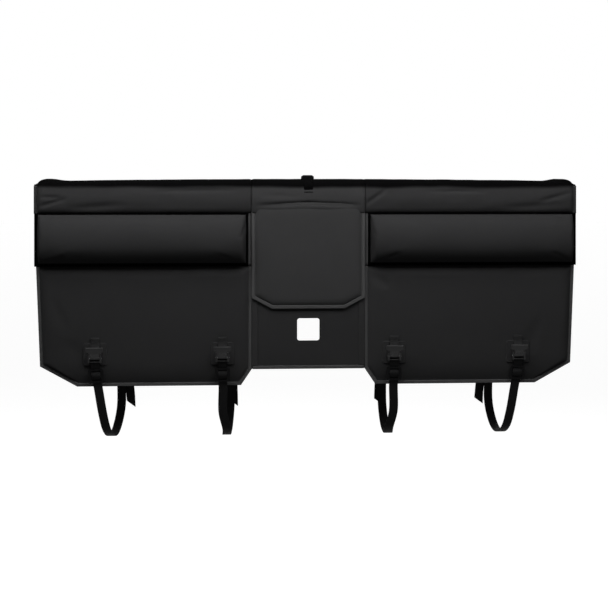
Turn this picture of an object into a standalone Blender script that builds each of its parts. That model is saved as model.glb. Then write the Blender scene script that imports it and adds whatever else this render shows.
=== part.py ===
"""Tailgate bike pad: a padded cover that hangs over the top edge of a pickup's tailgate.

Metres. +X runs along the tailgate, -Y is the side that faces away from the truck, +Z is up.
The origin is the middle of the flat underside that rests on the tailgate's top edge.
"""
import math

import bmesh
import bpy
from mathutils import Matrix, Vector

# Running gap between pieces that are sewn, threaded or pinned together
CLEARANCE = 0.0003

# The tailgate that the pad is made for
TAILGATE_THICKNESS = 0.090

# Padded body, seen from the front
PAD_WIDTH = 1.575
FOOT_WIDTH = 1.540
CENTRE_WIDTH = 0.330
BAND_HEIGHT = 0.083
BOLSTER_HEIGHT = 0.153
LOWER_PANEL_HEIGHT = 0.344
OUTER_CHAMFER_WIDTH = 0.105
OUTER_CHAMFER_HEIGHT = 0.058
INNER_CHAMFER_WIDTH = 0.031
INNER_CHAMFER_HEIGHT = 0.046
INNER_PANEL_WIDTH = 1.500
INNER_PANEL_HEIGHT = 0.250
INNER_PANEL_CHAMFER = 0.060

# Padded body, through its thickness
TOP_PADDING = 0.014
BAND_PADDING = 0.012
CENTRE_BAND_PADDING = 0.014
BAND_PUFF = 0.0025
REAR_PADDING = 0.008
FRONT_ROLL_RADIUS = 0.024
REAR_ROLL_RADIUS = 0.018
INSIDE_ROLL_RADIUS = 0.006
PANEL_PADDING = 0.013
SEWN_EDGE_THICKNESS = 0.006
SEWN_EDGE_WIDTH = 0.010
PADDING_RISE = 0.030
BOLSTER_DEPTH = 0.060
BOLSTER_END_ROUND = 0.014
BOLSTER_INNER_MARGIN = 0.015
BOLSTER_SEAM = 0.004
BOLSTER_ROUNDNESS = 0.75

# Centre section: sheet, window, handle opening and the flap over it
CENTRE_SHEET = 0.006
CENTRE_BAND_HEIGHT = 0.052
WINDOW_SIZE = 0.065
WINDOW_CORNER = 0.007
WINDOW_DROP = 0.421
HANDLE_OPENING_WIDTH = 0.230
HANDLE_OPENING_HEIGHT = 0.095
HANDLE_OPENING_CORNER = 0.015
HANDLE_OPENING_DROP = 0.190
FLAP_FOOT_DROP = 0.359
FLAP_SIDE_GAP = 0.0017
FLAP_CHAMFER_WIDTH = 0.058
FLAP_CHAMFER_HEIGHT = 0.031
FLAP_EDGE_THICKNESS = 0.004
FLAP_PADDING = 0.010
SEAM_TAPE_WIDTH = 0.019
SEAM_TAPE_THICKNESS = 0.0012

# Folded edge binding
BINDING_REACH = 0.009
BINDING_THICKNESS = 0.001
BINDING_SLOPE = 0.002

# Webbing straps: the buckle's distance from the pad's middle, and how far towards the middle of the
# pad each further place on the strap lies from the buckle
WEBBING_WIDTH = 0.026
WEBBING_THICKNESS = 0.0014
OUTER_STRAP = {"name": "outer", "buckle": 0.613, "slider": 0.005, "foot": 0.010, "loop": 0.043,
               "back": 0.064, "lock": 0.062, "tail": 0.092}
INNER_STRAP = {"name": "inner", "buckle": 0.249, "slider": 0.001, "foot": 0.002, "loop": 0.012,
               "back": 0.022, "lock": 0.021, "tail": 0.032}
LOOP_DROP = 0.152
LOOP_SWAY = 0.0055
LOOP_STEPS = 4
TAIL_LENGTH = 0.345
TAIL_CUT = 0.019
TAIL_STEPS = 6

# Cam buckle: fixed frame, sprung toothed lever and its pin
CAM_PIVOT_RISE = 0.083
CAM_PIVOT_HEIGHT = 0.0135
CAM_RADIUS = 0.0057
CAM_RELEASED_RADIUS = 0.0046
CAM_HUB_RADIUS = 0.0038
CAM_TOOTH_DEPTH = 0.0005
CAM_TEETH = 7
CAM_START_DEG = -35
CAM_END_DEG = 40
HUB_START_DEG = 60
HUB_END_DEG = 300
HUB_STEPS = 10
PIN_RADIUS = 0.0015
PIN_STANDOFF = 0.0004
FRAME_WIDTH = 0.038
FRAME_PLATE_THICKNESS = 0.0018
FRAME_PLATE_HEIGHT = 0.0040
FRAME_PLATE_FOOT = 0.013
FRAME_GUIDE_TOP = 0.0175
FRAME_BAR_FOOT = 0.0255
FRAME_BAR_TOP = 0.0295
EAR_RISE = 0.0130
EAR_DEPTH = 0.0170
LOWER_GUIDE_RADIUS = 0.0015
LOWER_GUIDE_DROP = 0.0108
LOWER_GUIDE_HEIGHT = 0.0105
SIDE_PLAY = 0.0015
LEVER_PLAY = 0.0005
LEVER_THICKNESS = 0.0022
LEVER_LENGTH = 0.0310
LEVER_TILT = math.radians(12)
LEVER_FLARE_START = 0.0155
LEVER_FLARE_END = 0.0200
LIP_WIDTH = 0.048
LIP_RADIUS = 0.0019
RIB_COUNT = 5
RIB_RADIUS = 0.0006
RIB_PITCH = 0.0032
RIB_START = 0.0010

# Sewn patch behind each cam buckle
PATCH_WIDTH = 0.070
PATCH_HEIGHT = 0.066
PATCH_THICKNESS = 0.0012
PATCH_CORNER = 0.010

# Slider that keeps the strap's free end flat against the strap
SLIDER_WIDTH = 0.043
SLIDER_BAR = 0.0046
SLIDER_MIDDLE_BAR = 0.0050
SLIDER_SLOT = 0.0120
SLIDER_THICKNESS = 0.0028
SLIDER_DROP = 0.052
SLIDER_CORNER = 0.003
WEAVE_LEAD = 0.0018

# Ladder lock on the bed side, where the strap is pulled tight
LOCK_RISE = 0.033
LOCK_WIDTH = 0.037
LOCK_LIP_WIDTH = 0.044
LOCK_THICKNESS = 0.0038
LOCK_BAR = 0.0038
LOCK_SLOT = 0.0082
LOCK_LIP = 0.0050
TAB_LENGTH = 0.030
TAB_OPENING = 0.012

# Quick-release buckle on the top, with its two short straps
TOP_BUCKLE_WIDTH = 0.036
TOP_BUCKLE_HEIGHT = 0.013
TOP_BUCKLE_WALL = 0.0018
TOP_BUCKLE_CHAMFER_WIDTH = 0.0056
TOP_BUCKLE_CHAMFER_HEIGHT = 0.0040
TOP_BUCKLE_SHIFT = -0.004
SOCKET_LENGTH = 0.026
SOCKET_NOTCH_START = 0.003
SOCKET_NOTCH_LENGTH = 0.010
PLUG_BASE_LENGTH = 0.006
PRONG_LENGTH = 0.014
MIDDLE_PRONG_LENGTH = 0.012
PRONG_WIDTH = 0.0048
PRONG_HEIGHT = 0.0040
BARB_DEPTH = 0.0016
BARB_START = 0.4
BARB_PEAK = 0.6
TOP_SLOT_LENGTH = 0.0052
TOP_BAR_LENGTH = 0.0036
TOP_BAR_THICKNESS = 0.0032
TOP_STRAP_FRONT_DROP = 0.026
TOP_STRAP_REAR_DROP = 0.050
TOP_STRAP_LEAD = 0.0055
TOP_STRAP_FOLD = 0.006

# Places that follow from the sizes above
FRONT_Y = -TAILGATE_THICKNESS / 2
REAR_Y = TAILGATE_THICKNESS / 2
BAND_FOOT_Z = -BAND_HEIGHT
BOLSTER_FOOT_Z = BAND_FOOT_Z - BOLSTER_HEIGHT
PANEL_FOOT_Z = BOLSTER_FOOT_Z - LOWER_PANEL_HEIGHT
CHAMFER_TOP_Z = PANEL_FOOT_Z + OUTER_CHAMFER_HEIGHT
CENTRE_FOOT_Z = PANEL_FOOT_Z + INNER_CHAMFER_HEIGHT
CENTRE_BAND_FOOT_Z = -CENTRE_BAND_HEIGHT
INNER_FOOT_Z = BAND_FOOT_Z - INNER_PANEL_HEIGHT
PIVOT_Z = PANEL_FOOT_Z + CAM_PIVOT_RISE
SLIDER_Z = PIVOT_Z - SLIDER_DROP
LOCK_Z = INNER_FOOT_Z + LOCK_RISE
LOOP_Z = PANEL_FOOT_Z - LOOP_DROP
PATCH_FACE = CLEARANCE + PATCH_THICKNESS
LAYER_PITCH = WEBBING_THICKNESS + CLEARANCE
SLIDER_BACK = 2 * LAYER_PITCH + 2 * CLEARANCE
LOCK_BACK = FRAME_PLATE_HEIGHT
HALF_WEBBING = WEBBING_THICKNESS / 2
EAR_INNER_X = WEBBING_WIDTH / 2 + SIDE_PLAY
BINDING_SEAT = CLEARANCE + BINDING_THICKNESS
FLAP_BACK = CENTRE_SHEET + SEAM_TAPE_THICKNESS + 2 * CLEARANCE
SIDES = {"left": -1, "right": 1}

ROUND_STEPS = 6
BAND_STEPS = 5
ROLL_STEPS = 14
RISE_STEPS = 4
PEG_SIDES = 16


def clear_scene():
    for old in list(bpy.data.objects):
        bpy.data.objects.remove(old, do_unlink=True)


def make_collection(name):
    collection = bpy.data.collections.new(name)
    bpy.context.scene.collection.children.link(collection)
    return collection


def make_material(name, colour, roughness, metallic=0.0):
    material = bpy.data.materials.new(name)
    material.use_nodes = True
    shader = material.node_tree.nodes["Principled BSDF"]
    shader.inputs["Base Color"].default_value = (*colour, 1.0)
    shader.inputs["Roughness"].default_value = roughness
    shader.inputs["Metallic"].default_value = metallic
    return material


clear_scene()
PAD = make_collection("tailgate_bike_pad")
CUTTERS = make_collection("cutters")

VINYL = make_material("coated_fabric", (0.020, 0.020, 0.021), 0.55)
FLAP_VINYL = make_material("flap_fabric", (0.035, 0.035, 0.036), 0.60)
LINING = make_material("lining", (0.030, 0.030, 0.031), 0.95)
BINDING = make_material("binding", (0.060, 0.060, 0.062), 0.75)
WEBBING = make_material("webbing", (0.010, 0.010, 0.010), 0.85)
PLASTIC = make_material("buckle_plastic", (0.018, 0.018, 0.019), 0.40)
STEEL = make_material("pin_steel", (0.35, 0.35, 0.36), 0.35, 1.0)


def place(name, mesh, material, location=(0, 0, 0), rotation=(0, 0, 0)):
    """Put a mesh in the pad's collection as one named piece."""
    piece = bpy.data.objects.new(name, mesh)
    piece.location = location
    piece.rotation_euler = rotation
    if not mesh.materials:
        mesh.materials.append(material)
    PAD.objects.link(piece)
    return piece


def loft(name, rings):
    """A closed solid through rings of equally many points, with both ends filled."""
    bm = bmesh.new()
    rows = [[bm.verts.new(point) for point in ring] for ring in rings]
    for lower, upper in zip(rows, rows[1:]):
        for i in range(len(lower)):
            j = (i + 1) % len(lower)
            bm.faces.new((lower[i], lower[j], upper[j], upper[i]))
    bm.faces.new(rows[0])
    bm.faces.new(rows[-1])
    bmesh.ops.recalc_face_normals(bm, faces=bm.faces)
    mesh = bpy.data.meshes.new(name)
    bm.to_mesh(mesh)
    bm.free()
    return mesh


def evaluated_mesh(source, name):
    """The mesh that a curve or a modified object shows, with its loose caps welded."""
    graph = bpy.context.evaluated_depsgraph_get()
    graph.update()
    mesh = bpy.data.meshes.new_from_object(source.evaluated_get(graph))
    mesh.name = name
    bm = bmesh.new()
    bm.from_mesh(mesh)
    bmesh.ops.remove_doubles(bm, verts=bm.verts, dist=0.00001)
    bmesh.ops.recalc_face_normals(bm, faces=bm.faces)
    bm.to_mesh(mesh)
    bm.free()
    mesh.transform(source.matrix_world)
    return mesh


def plate(name, loops, thickness, matrix=Matrix()):
    """A flat outline, with holes where loops lie inside it, as thick as stated, centred on its plane."""
    curve = bpy.data.curves.new(name, "CURVE")
    curve.dimensions = "2D"
    curve.fill_mode = "BOTH"
    curve.extrude = thickness / 2
    for loop in loops:
        spline = curve.splines.new("POLY")
        spline.points.add(len(loop) - 1)
        for point, (u, v) in zip(spline.points, loop):
            point.co = (u, v, 0, 1)
        spline.use_cyclic_u = True
    source = bpy.data.objects.new(name, curve)
    source.matrix_world = matrix
    CUTTERS.objects.link(source)
    mesh = evaluated_mesh(source, name)
    bpy.data.objects.remove(source)
    return mesh


def fuse(name, base, others, operation="UNION"):
    """One mesh from several that overlap, or one with the others cut out of it."""
    body = bpy.data.objects.new(name, base)
    CUTTERS.objects.link(body)
    tools = []
    for mesh in others:
        tool = bpy.data.objects.new(name + "_tool", mesh)
        tool.hide_render = True
        tool.display_type = "WIRE"
        CUTTERS.objects.link(tool)
        tools.append(tool)
        cut = body.modifiers.new(operation.lower(), "BOOLEAN")
        cut.operation = operation
        cut.solver = "EXACT"
        cut.object = tool
    mesh = evaluated_mesh(body, name)
    mesh.materials.clear()
    for used in [body] + tools:
        bpy.data.objects.remove(used)
    return mesh


def facing_front(distance, x=0.0, z=0.0):
    """Turns an outline in X and Z to stand upright, at a distance out from Y = 0 towards the front."""
    return Matrix.Translation((x, -distance, z)) @ Matrix.Rotation(math.pi / 2, 4, "X")


def across(x=0.0):
    """Turns an outline in Y and Z to stand across X."""
    turn = Matrix(((0, 0, 1, 0), (1, 0, 0, 0), (0, 1, 0, 0), (0, 0, 0, 1)))
    return Matrix.Translation((x, 0, 0)) @ turn


def peg(name, radius, length, location):
    """A round peg along X."""
    bm = bmesh.new()
    bmesh.ops.create_cone(bm, cap_ends=True, segments=PEG_SIDES, radius1=radius, radius2=radius,
                          depth=length)
    bm.transform(Matrix.Translation(location) @ Matrix.Rotation(math.pi / 2, 4, "Y"))
    mesh = bpy.data.meshes.new(name)
    bm.to_mesh(mesh)
    bm.free()
    return mesh


def block(name, low, high):
    """A box between two corners."""
    bm = bmesh.new()
    bmesh.ops.create_cube(bm, size=1.0)
    low = Vector(low)
    high = Vector(high)
    size = high - low
    bm.transform(Matrix.Translation((low + high) / 2) @ Matrix.Diagonal((*size, 1)))
    mesh = bpy.data.meshes.new(name)
    bm.to_mesh(mesh)
    bm.free()
    return mesh


def arc(centre, radius, start, end, steps):
    """Points of an arc, with angles in degrees from the first axis towards the second."""
    points = []
    for i in range(steps + 1):
        angle = math.radians(start + (end - start) * i / steps)
        points.append((centre[0] + radius * math.cos(angle), centre[1] + radius * math.sin(angle)))
    return points


def rounded_rectangle(width, height, radius, centre=(0, 0), steps=4):
    """A rectangle's outline with round corners."""
    u = width / 2 - radius
    v = height / 2 - radius
    corners = ((u, v, 0), (-u, v, 90), (-u, -v, 180), (u, -v, 270))
    points = []
    for cu, cv, start in corners:
        points += arc((centre[0] + cu, centre[1] + cv), radius, start, start + 90, steps)
    return points


def rectangle(low_u, low_v, high_u, high_v):
    return [(low_u, low_v), (high_u, low_v), (high_u, high_v), (low_u, high_v)]


def mirrored(outline, side):
    """The outline as it is for the right side, or turned over for the left."""
    if side > 0:
        return list(outline)
    return [(-u, v) for u, v in reversed(outline)]


def corner_mitres(outline, closed=True):
    """For each point, the vector that moves it inwards by one unit from both its edges."""
    mitres = []
    count = len(outline)
    for i, point in enumerate(outline):
        here = Vector(point)
        before = Vector(outline[i - 1]) if closed or i > 0 else None
        after = Vector(outline[(i + 1) % count]) if closed or i < count - 1 else None
        normals = []
        if before is not None:
            edge = (here - before).normalized()
            normals.append(Vector((-edge.y, edge.x)))
        if after is not None:
            edge = (after - here).normalized()
            normals.append(Vector((-edge.y, edge.x)))
        total = sum(normals, Vector((0, 0))).normalized()
        mitres.append(total / total.dot(normals[0]))
    return mitres


def half_width(z):
    """Half the pad's width at a height: it narrows evenly from its top to the outer chamfers."""
    share = (BAND_FOOT_Z - z) / (BAND_FOOT_Z - CHAMFER_TOP_Z)
    share = min(max(share, 0.0), 1.0)
    return (PAD_WIDTH + (FOOT_WIDTH - PAD_WIDTH) * share) / 2


def padded_panel(name, outline, face_y, direction, edge_thickness, padding, material):
    """A panel sewn flat along its edge that swells to its full padding within the edge.

    The outline runs anticlockwise in X and Z. Direction is -1 for the front and 1 for the bed side.
    The back is pressed in along the edge, so that the binding lies flush with it.
    """
    mitres = corner_mitres(outline)

    def ring(inset, height):
        return [(u + m.x * inset, face_y + direction * height, v + m.y * inset)
                for (u, v), m in zip(outline, mitres)]

    rings = [
        ring(BINDING_REACH + BINDING_SLOPE, 0),
        ring(BINDING_REACH + CLEARANCE, BINDING_SEAT),
        ring(0, BINDING_SEAT),
        ring(0, edge_thickness),
        ring(SEWN_EDGE_WIDTH, edge_thickness),
    ]
    swell = padding - edge_thickness
    for i in range(1, RISE_STEPS + 1):
        angle = math.pi / 2 * i / RISE_STEPS
        inset = SEWN_EDGE_WIDTH + PADDING_RISE * (1 - math.cos(angle))
        rings.append(ring(inset, edge_thickness + swell * math.sin(angle)))
    return place(name, loft(name, rings), material)


def folded_tape(name, stations, material=BINDING):
    """Edge binding: a tape folded over an edge from its outer face to its inner face.

    Each station is the edge's outer and inner point and the way out past the edge there.
    """
    rings = []
    near = CLEARANCE
    far = CLEARANCE + BINDING_THICKNESS
    for outer, inner, outward in stations:
        outer = Vector(outer)
        inner = Vector(inner)
        outward = Vector(outward)
        over = (outer - inner).normalized()
        rings.append([
            outer + over * far - outward * BINDING_REACH,
            outer + over * far + outward * far,
            inner - over * far + outward * far,
            inner - over * far - outward * BINDING_REACH,
            inner - over * near - outward * BINDING_REACH,
            inner - over * near + outward * near,
            outer + over * near + outward * near,
            outer + over * near - outward * BINDING_REACH,
        ])
    return place(name, loft(name, rings), material)


def panel_edge_tape(name, edge, face_y, direction, thickness):
    """Binding along an upright panel's edge, which runs anticlockwise in X and Z."""
    stations = []
    for (u, v), mitre in zip(edge, corner_mitres(edge, closed=False)):
        outer = (u, face_y + direction * thickness, v)
        inner = (u, face_y + direction * BINDING_SEAT, v)
        stations.append((outer, inner, (-mitre.x, 0, -mitre.y)))
    return folded_tape(name, stations)


def saddle_walls(front_foot, padding):
    """Outer and inner points of the padded saddle, from its front foot over the top to its rear foot."""
    front = FRONT_Y - padding
    rear = REAR_Y + REAR_PADDING
    roll_start = TOP_PADDING - FRONT_ROLL_RADIUS
    outer = []
    inner = []
    for i in range(BAND_STEPS):
        share = i / BAND_STEPS
        z = front_foot + (roll_start - front_foot) * share
        outer.append((front - BAND_PUFF * math.sin(math.pi * share), z))
        inner.append((FRONT_Y, min(z, -INSIDE_ROLL_RADIUS)))
    outer += arc((front + FRONT_ROLL_RADIUS, roll_start), FRONT_ROLL_RADIUS, 180, 90, ROUND_STEPS)
    inner += arc((FRONT_Y + INSIDE_ROLL_RADIUS, -INSIDE_ROLL_RADIUS), INSIDE_ROLL_RADIUS, 180, 90,
                 ROUND_STEPS)
    outer += arc((rear - REAR_ROLL_RADIUS, TOP_PADDING - REAR_ROLL_RADIUS), REAR_ROLL_RADIUS, 90, 0,
                 ROUND_STEPS)
    inner += arc((REAR_Y - INSIDE_ROLL_RADIUS, -INSIDE_ROLL_RADIUS), INSIDE_ROLL_RADIUS, 90, 0,
                 ROUND_STEPS)
    outer.append((rear, BAND_FOOT_Z))
    inner.append((REAR_Y, BAND_FOOT_Z))
    return outer, inner


def pressed_in(outer, inner):
    """The inner wall's points where the binding presses them in by its own thickness."""
    seats = []
    for out_point, in_point in zip(outer, inner):
        here = Vector(in_point)
        seats.append(here + (Vector(out_point) - here).normalized() * BINDING_SEAT)
    return seats


def saddle(name, front_foot, padding, start, end, bound):
    """One length of the padded saddle that lies over the tailgate's top edge.

    It runs along X from start to end. A bound one is pressed in where its end binding lies.
    """
    outer, inner = saddle_walls(front_foot, padding)
    section = outer + inner[::-1]
    stations = [(start, section)]
    if bound:
        side = 1 if end > start else -1
        pressed = outer + pressed_in(outer, inner)[::-1]
        stations.append((end - side * (BINDING_REACH + BINDING_SLOPE), section))
        stations.append((end - side * (BINDING_REACH + CLEARANCE), pressed))
        stations.append((end, pressed))
    else:
        stations.append((end, section))
    return place(name, loft(name, [[(x, *point) for point in ring] for x, ring in stations]), VINYL)


def saddle_end_tape(name, side):
    """Binding over the saddle's open end."""
    outer, inner = saddle_walls(BAND_FOOT_Z + CLEARANCE, BAND_PADDING)
    end = side * PAD_WIDTH / 2
    seats = pressed_in(outer, inner)
    stations = [((end, *o), (end, *i), (side, 0, 0)) for o, i in zip(outer, seats)]
    return folded_tape(name, stations)


def make_saddles():
    seam = CENTRE_WIDTH / 2
    middle_half = seam - CLEARANCE / 2
    saddle("centre_saddle", CENTRE_BAND_FOOT_Z, CENTRE_BAND_PADDING, -middle_half, middle_half, False)
    for side_name, side in SIDES.items():
        saddle(side_name + "_saddle", BAND_FOOT_Z, BAND_PADDING, side * (seam + CLEARANCE / 2),
               side * PAD_WIDTH / 2, True)
        saddle_end_tape(side_name + "_saddle_binding", side)


def make_bolster(side_name, side):
    """A thick padded roll on a sewn base, between the upper band and the lower panel."""
    name = side_name + "_bolster"
    top = BAND_FOOT_Z - CLEARANCE
    foot = BOLSTER_FOOT_Z
    inner_x = CENTRE_WIDTH / 2 + CLEARANCE / 2
    outline = [(inner_x, foot), (half_width(foot), foot), (half_width(top), top), (inner_x, top)]
    base = plate(name, [mirrored(outline, side)], SEWN_EDGE_THICKNESS,
                 facing_front(-FRONT_Y + SEWN_EDGE_THICKNESS / 2))
    middle_z = (top + foot) / 2
    half_height = (top - foot) / 2 - BOLSTER_SEAM
    start = inner_x + BOLSTER_INNER_MARGIN
    end = half_width(foot) - BINDING_THICKNESS
    hidden = SEWN_EDGE_THICKNESS / 2

    def section(x, inset):
        ring = []
        for i in range(ROLL_STEPS + 1):
            angle = math.pi * i / ROLL_STEPS
            depth = (BOLSTER_DEPTH - inset - hidden) * math.sin(angle) ** BOLSTER_ROUNDNESS
            z = middle_z + (half_height - inset) * math.cos(angle)
            ring.append((side * x, FRONT_Y - hidden - depth, z))
        return ring

    near = []
    far = []
    for i in range(RISE_STEPS + 1):
        angle = math.pi / 2 * i / RISE_STEPS
        along = BOLSTER_END_ROUND * (1 - math.cos(angle))
        inset = BOLSTER_END_ROUND * (1 - math.sin(angle))
        near.append(section(start + along, inset))
        far.append(section(end - along, inset))
    roll = loft(name + "_roll", near + far[::-1])
    place(name, fuse(name, base, [roll]), VINYL)


def side_panel_outline():
    """The right lower panel, anticlockwise from its inner edge's foot."""
    top = BOLSTER_FOOT_Z - CLEARANCE
    inner_x = CENTRE_WIDTH / 2 + CLEARANCE / 2
    return [
        (inner_x, CENTRE_FOOT_Z),
        (inner_x + INNER_CHAMFER_WIDTH, PANEL_FOOT_Z),
        (FOOT_WIDTH / 2 - OUTER_CHAMFER_WIDTH, PANEL_FOOT_Z),
        (FOOT_WIDTH / 2, CHAMFER_TOP_Z),
        (half_width(top), top),
        (inner_x, top),
    ]


def make_side_panel(side_name, side):
    outline = side_panel_outline()
    padded_panel(side_name + "_lower_panel", mirrored(outline, side), FRONT_Y, -1,
                 SEWN_EDGE_THICKNESS, PANEL_PADDING, VINYL)
    edge = outline[:5]
    edge[-1] = (half_width(BOLSTER_FOOT_Z), BOLSTER_FOOT_Z - BINDING_THICKNESS)
    panel_edge_tape(side_name + "_panel_binding", mirrored(edge, side), FRONT_Y, -1,
                    SEWN_EDGE_THICKNESS)


def make_centre_panel():
    """The thin sheet between the side panels, with its window and the opening for the handle."""
    half = CENTRE_WIDTH / 2 - CLEARANCE / 2
    top = CENTRE_BAND_FOOT_Z - CLEARANCE
    handle_z = -HANDLE_OPENING_DROP
    loops = [
        rectangle(-half, CENTRE_FOOT_Z, half, top),
        rounded_rectangle(WINDOW_SIZE, WINDOW_SIZE, WINDOW_CORNER, (0, -WINDOW_DROP)),
        rounded_rectangle(HANDLE_OPENING_WIDTH, HANDLE_OPENING_HEIGHT, HANDLE_OPENING_CORNER,
                          (0, handle_z)),
    ]
    sheet = plate("sheet", loops, CENTRE_SHEET, facing_front(-FRONT_Y + CENTRE_SHEET / 2))
    hem_top = CENTRE_FOOT_Z + BINDING_REACH + CLEARANCE
    hem_seat = block("hem_seat", (-CENTRE_WIDTH, FRONT_Y - BINDING_SEAT, CENTRE_FOOT_Z - BINDING_REACH),
                     (CENTRE_WIDTH, FRONT_Y + BINDING_SEAT, hem_top))
    place("centre_panel", fuse("centre_panel", sheet, [hem_seat], "DIFFERENCE"), VINYL)

    hem_half = half - BINDING_REACH / 3
    hem = [(-hem_half, CENTRE_FOOT_Z), (hem_half, CENTRE_FOOT_Z)]
    panel_edge_tape("centre_hem", hem, FRONT_Y, -1, CENTRE_SHEET)

    tape_middle = -FRONT_Y + CENTRE_SHEET + CLEARANCE + SEAM_TAPE_THICKNESS / 2
    for side_name, side in SIDES.items():
        outline = rectangle(half - SEAM_TAPE_WIDTH, hem_top, half, top)
        name = side_name + "_seam_tape"
        place(name, plate(name, [mirrored(outline, side)], SEAM_TAPE_THICKNESS,
                          facing_front(tape_middle)), BINDING)


def make_flap():
    """The padded flap that hangs over the tailgate's handle, sewn on along its top."""
    half = CENTRE_WIDTH / 2 - FLAP_SIDE_GAP
    top = CENTRE_BAND_FOOT_Z - CLEARANCE
    foot = -FLAP_FOOT_DROP
    outline = [
        (-half, top),
        (-half, foot + FLAP_CHAMFER_HEIGHT),
        (-half + FLAP_CHAMFER_WIDTH, foot),
        (half - FLAP_CHAMFER_WIDTH, foot),
        (half, foot + FLAP_CHAMFER_HEIGHT),
        (half, top),
    ]
    back_y = FRONT_Y - FLAP_BACK
    padded_panel("handle_flap", outline, back_y, -1, FLAP_EDGE_THICKNESS, FLAP_PADDING, FLAP_VINYL)
    panel_edge_tape("flap_binding", outline, back_y, -1, FLAP_EDGE_THICKNESS)


def make_inner_panel():
    """The panel on the bed side that carries the ladder locks."""
    half = INNER_PANEL_WIDTH / 2
    top = BAND_FOOT_Z - CLEARANCE
    outline = [
        (-half, top),
        (-half, INNER_FOOT_Z + INNER_PANEL_CHAMFER),
        (-half + INNER_PANEL_CHAMFER, INNER_FOOT_Z),
        (half - INNER_PANEL_CHAMFER, INNER_FOOT_Z),
        (half, INNER_FOOT_Z + INNER_PANEL_CHAMFER),
        (half, top),
    ]
    padded_panel("inner_panel", outline, REAR_Y, 1, SEWN_EDGE_THICKNESS, REAR_PADDING, LINING)
    panel_edge_tape("inner_binding", outline, REAR_Y, 1, SEWN_EDGE_THICKNESS)


def ribbon(name, route, end_cut=0.0):
    """Webbing along a route of its middle line, flat across X, with a slanting end if it is cut so."""
    bm = bmesh.new()
    rows = []
    for i, point in enumerate(route):
        cut = end_cut if i == len(route) - 1 else 0.0
        left = bm.verts.new((point[0] - WEBBING_WIDTH / 2, point[1], point[2]))
        right = bm.verts.new((point[0] + WEBBING_WIDTH / 2, point[1], point[2] - cut))
        rows.append((left, right))
    for before, after in zip(rows, rows[1:]):
        bm.faces.new((before[0], before[1], after[1], after[0]))
    mesh = bpy.data.meshes.new(name)
    bm.to_mesh(mesh)
    bm.free()
    piece = place(name, mesh, WEBBING)
    thicken = piece.modifiers.new("thickness", "SOLIDIFY")
    thicken.thickness = WEBBING_THICKNESS
    thicken.offset = 0.0
    thicken.use_even_offset = True
    return piece


def smooth_route(points, steps):
    """A smooth curve through all the points, with as many steps between each two."""
    points = [Vector(point) for point in points]
    padded = [2 * points[0] - points[1]] + points + [2 * points[-1] - points[-2]]
    route = []
    for a, b, c, d in zip(padded, padded[1:], padded[2:], padded[3:]):
        for i in range(steps):
            t = i / steps
            route.append(0.5 * (2 * b + (c - a) * t + (2 * a - 5 * b + 4 * c - d) * t ** 2
                                + (3 * b - a - 3 * c + d) * t ** 3))
    route.append(points[-1])
    return route


def wrap_radius(thickness, height):
    """Radius of webbing's middle line round a square-edged bar."""
    return math.hypot(thickness, height) / 2 + CLEARANCE + HALF_WEBBING


def slider_weave(layer):
    """How the strap's layer passes the slider: distance from the patch's face and height in it."""
    behind = HALF_WEBBING + CLEARANCE + layer * LAYER_PITCH
    in_front = SLIDER_BACK + SLIDER_THICKNESS + CLEARANCE + HALF_WEBBING + layer * LAYER_PITCH
    bar_half = SLIDER_MIDDLE_BAR / 2
    slot_end = bar_half + SLIDER_SLOT
    return [
        (behind, slot_end + SLIDER_BAR),
        (behind, slot_end - WEAVE_LEAD),
        (in_front, bar_half + WEAVE_LEAD),
        (in_front, -bar_half - WEAVE_LEAD),
        (behind, -slot_end + WEAVE_LEAD),
        (behind, -slot_end - SLIDER_BAR),
    ]


def strap_places(strap):
    """How far from the pad's middle the strap is at each of its places."""
    places = {key: strap["buckle"] - shift for key, shift in strap.items() if key != "name"}
    places["buckle"] = strap["buckle"]
    return places


def front_strap_route(places):
    """The strap's front part: free end, slider, cam, over the frame's guide and back down."""
    plate_middle = FRAME_PLATE_HEIGHT + FRAME_PLATE_THICKNESS / 2
    wrap = FRAME_PLATE_THICKNESS / 2 + CLEARANCE + HALF_WEBBING
    wrap_z = PIVOT_Z + FRAME_GUIDE_TOP
    under_cam = plate_middle + wrap
    behind_plate = plate_middle - wrap

    lean = (places["buckle"] - places["slider"]) / SLIDER_DROP

    def x_at(z):
        return places["buckle"] - max(PIVOT_Z - FRAME_PLATE_FOOT - z, 0) * lean

    points = [(d, SLIDER_Z + z) for d, z in reversed(slider_weave(1))]
    points.append((under_cam, PIVOT_Z - FRAME_PLATE_FOOT))
    points += arc((plate_middle, wrap_z), wrap, 0, 180, ROUND_STEPS)
    points.append((behind_plate, PIVOT_Z - FRAME_PLATE_FOOT))
    points += [(d, SLIDER_Z + z) for d, z in slider_weave(0)]
    face = FRONT_Y - PANEL_PADDING - PATCH_FACE
    return [(x_at(z), face - d, z) for d, z in points]


def rear_strap_route(places):
    """The strap's bed-side part: up behind the ladder lock, over its middle bar and down as the tail."""
    middle = LOCK_BACK + LOCK_THICKNESS / 2
    wrap = wrap_radius(LOCK_THICKNESS, LOCK_BAR)
    face = REAR_Y + REAR_PADDING
    points = [(middle - wrap, LOCK_Z - LOCK_SLOT - LOCK_LIP - LOCK_BAR)]
    points += arc((middle, LOCK_Z), wrap, 180, 0, ROUND_STEPS)
    points.append((middle + wrap, LOCK_Z - LOCK_SLOT - LOCK_LIP - LOCK_BAR))
    route = [(places["lock"], face + d, z) for d, z in points]
    start = Vector(route[-1])
    end = Vector((places["tail"], face + middle + wrap, start.z - TAIL_LENGTH + TAIL_CUT))
    route += [start.lerp(end, i / TAIL_STEPS) for i in range(1, TAIL_STEPS + 1)]
    return route


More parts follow.
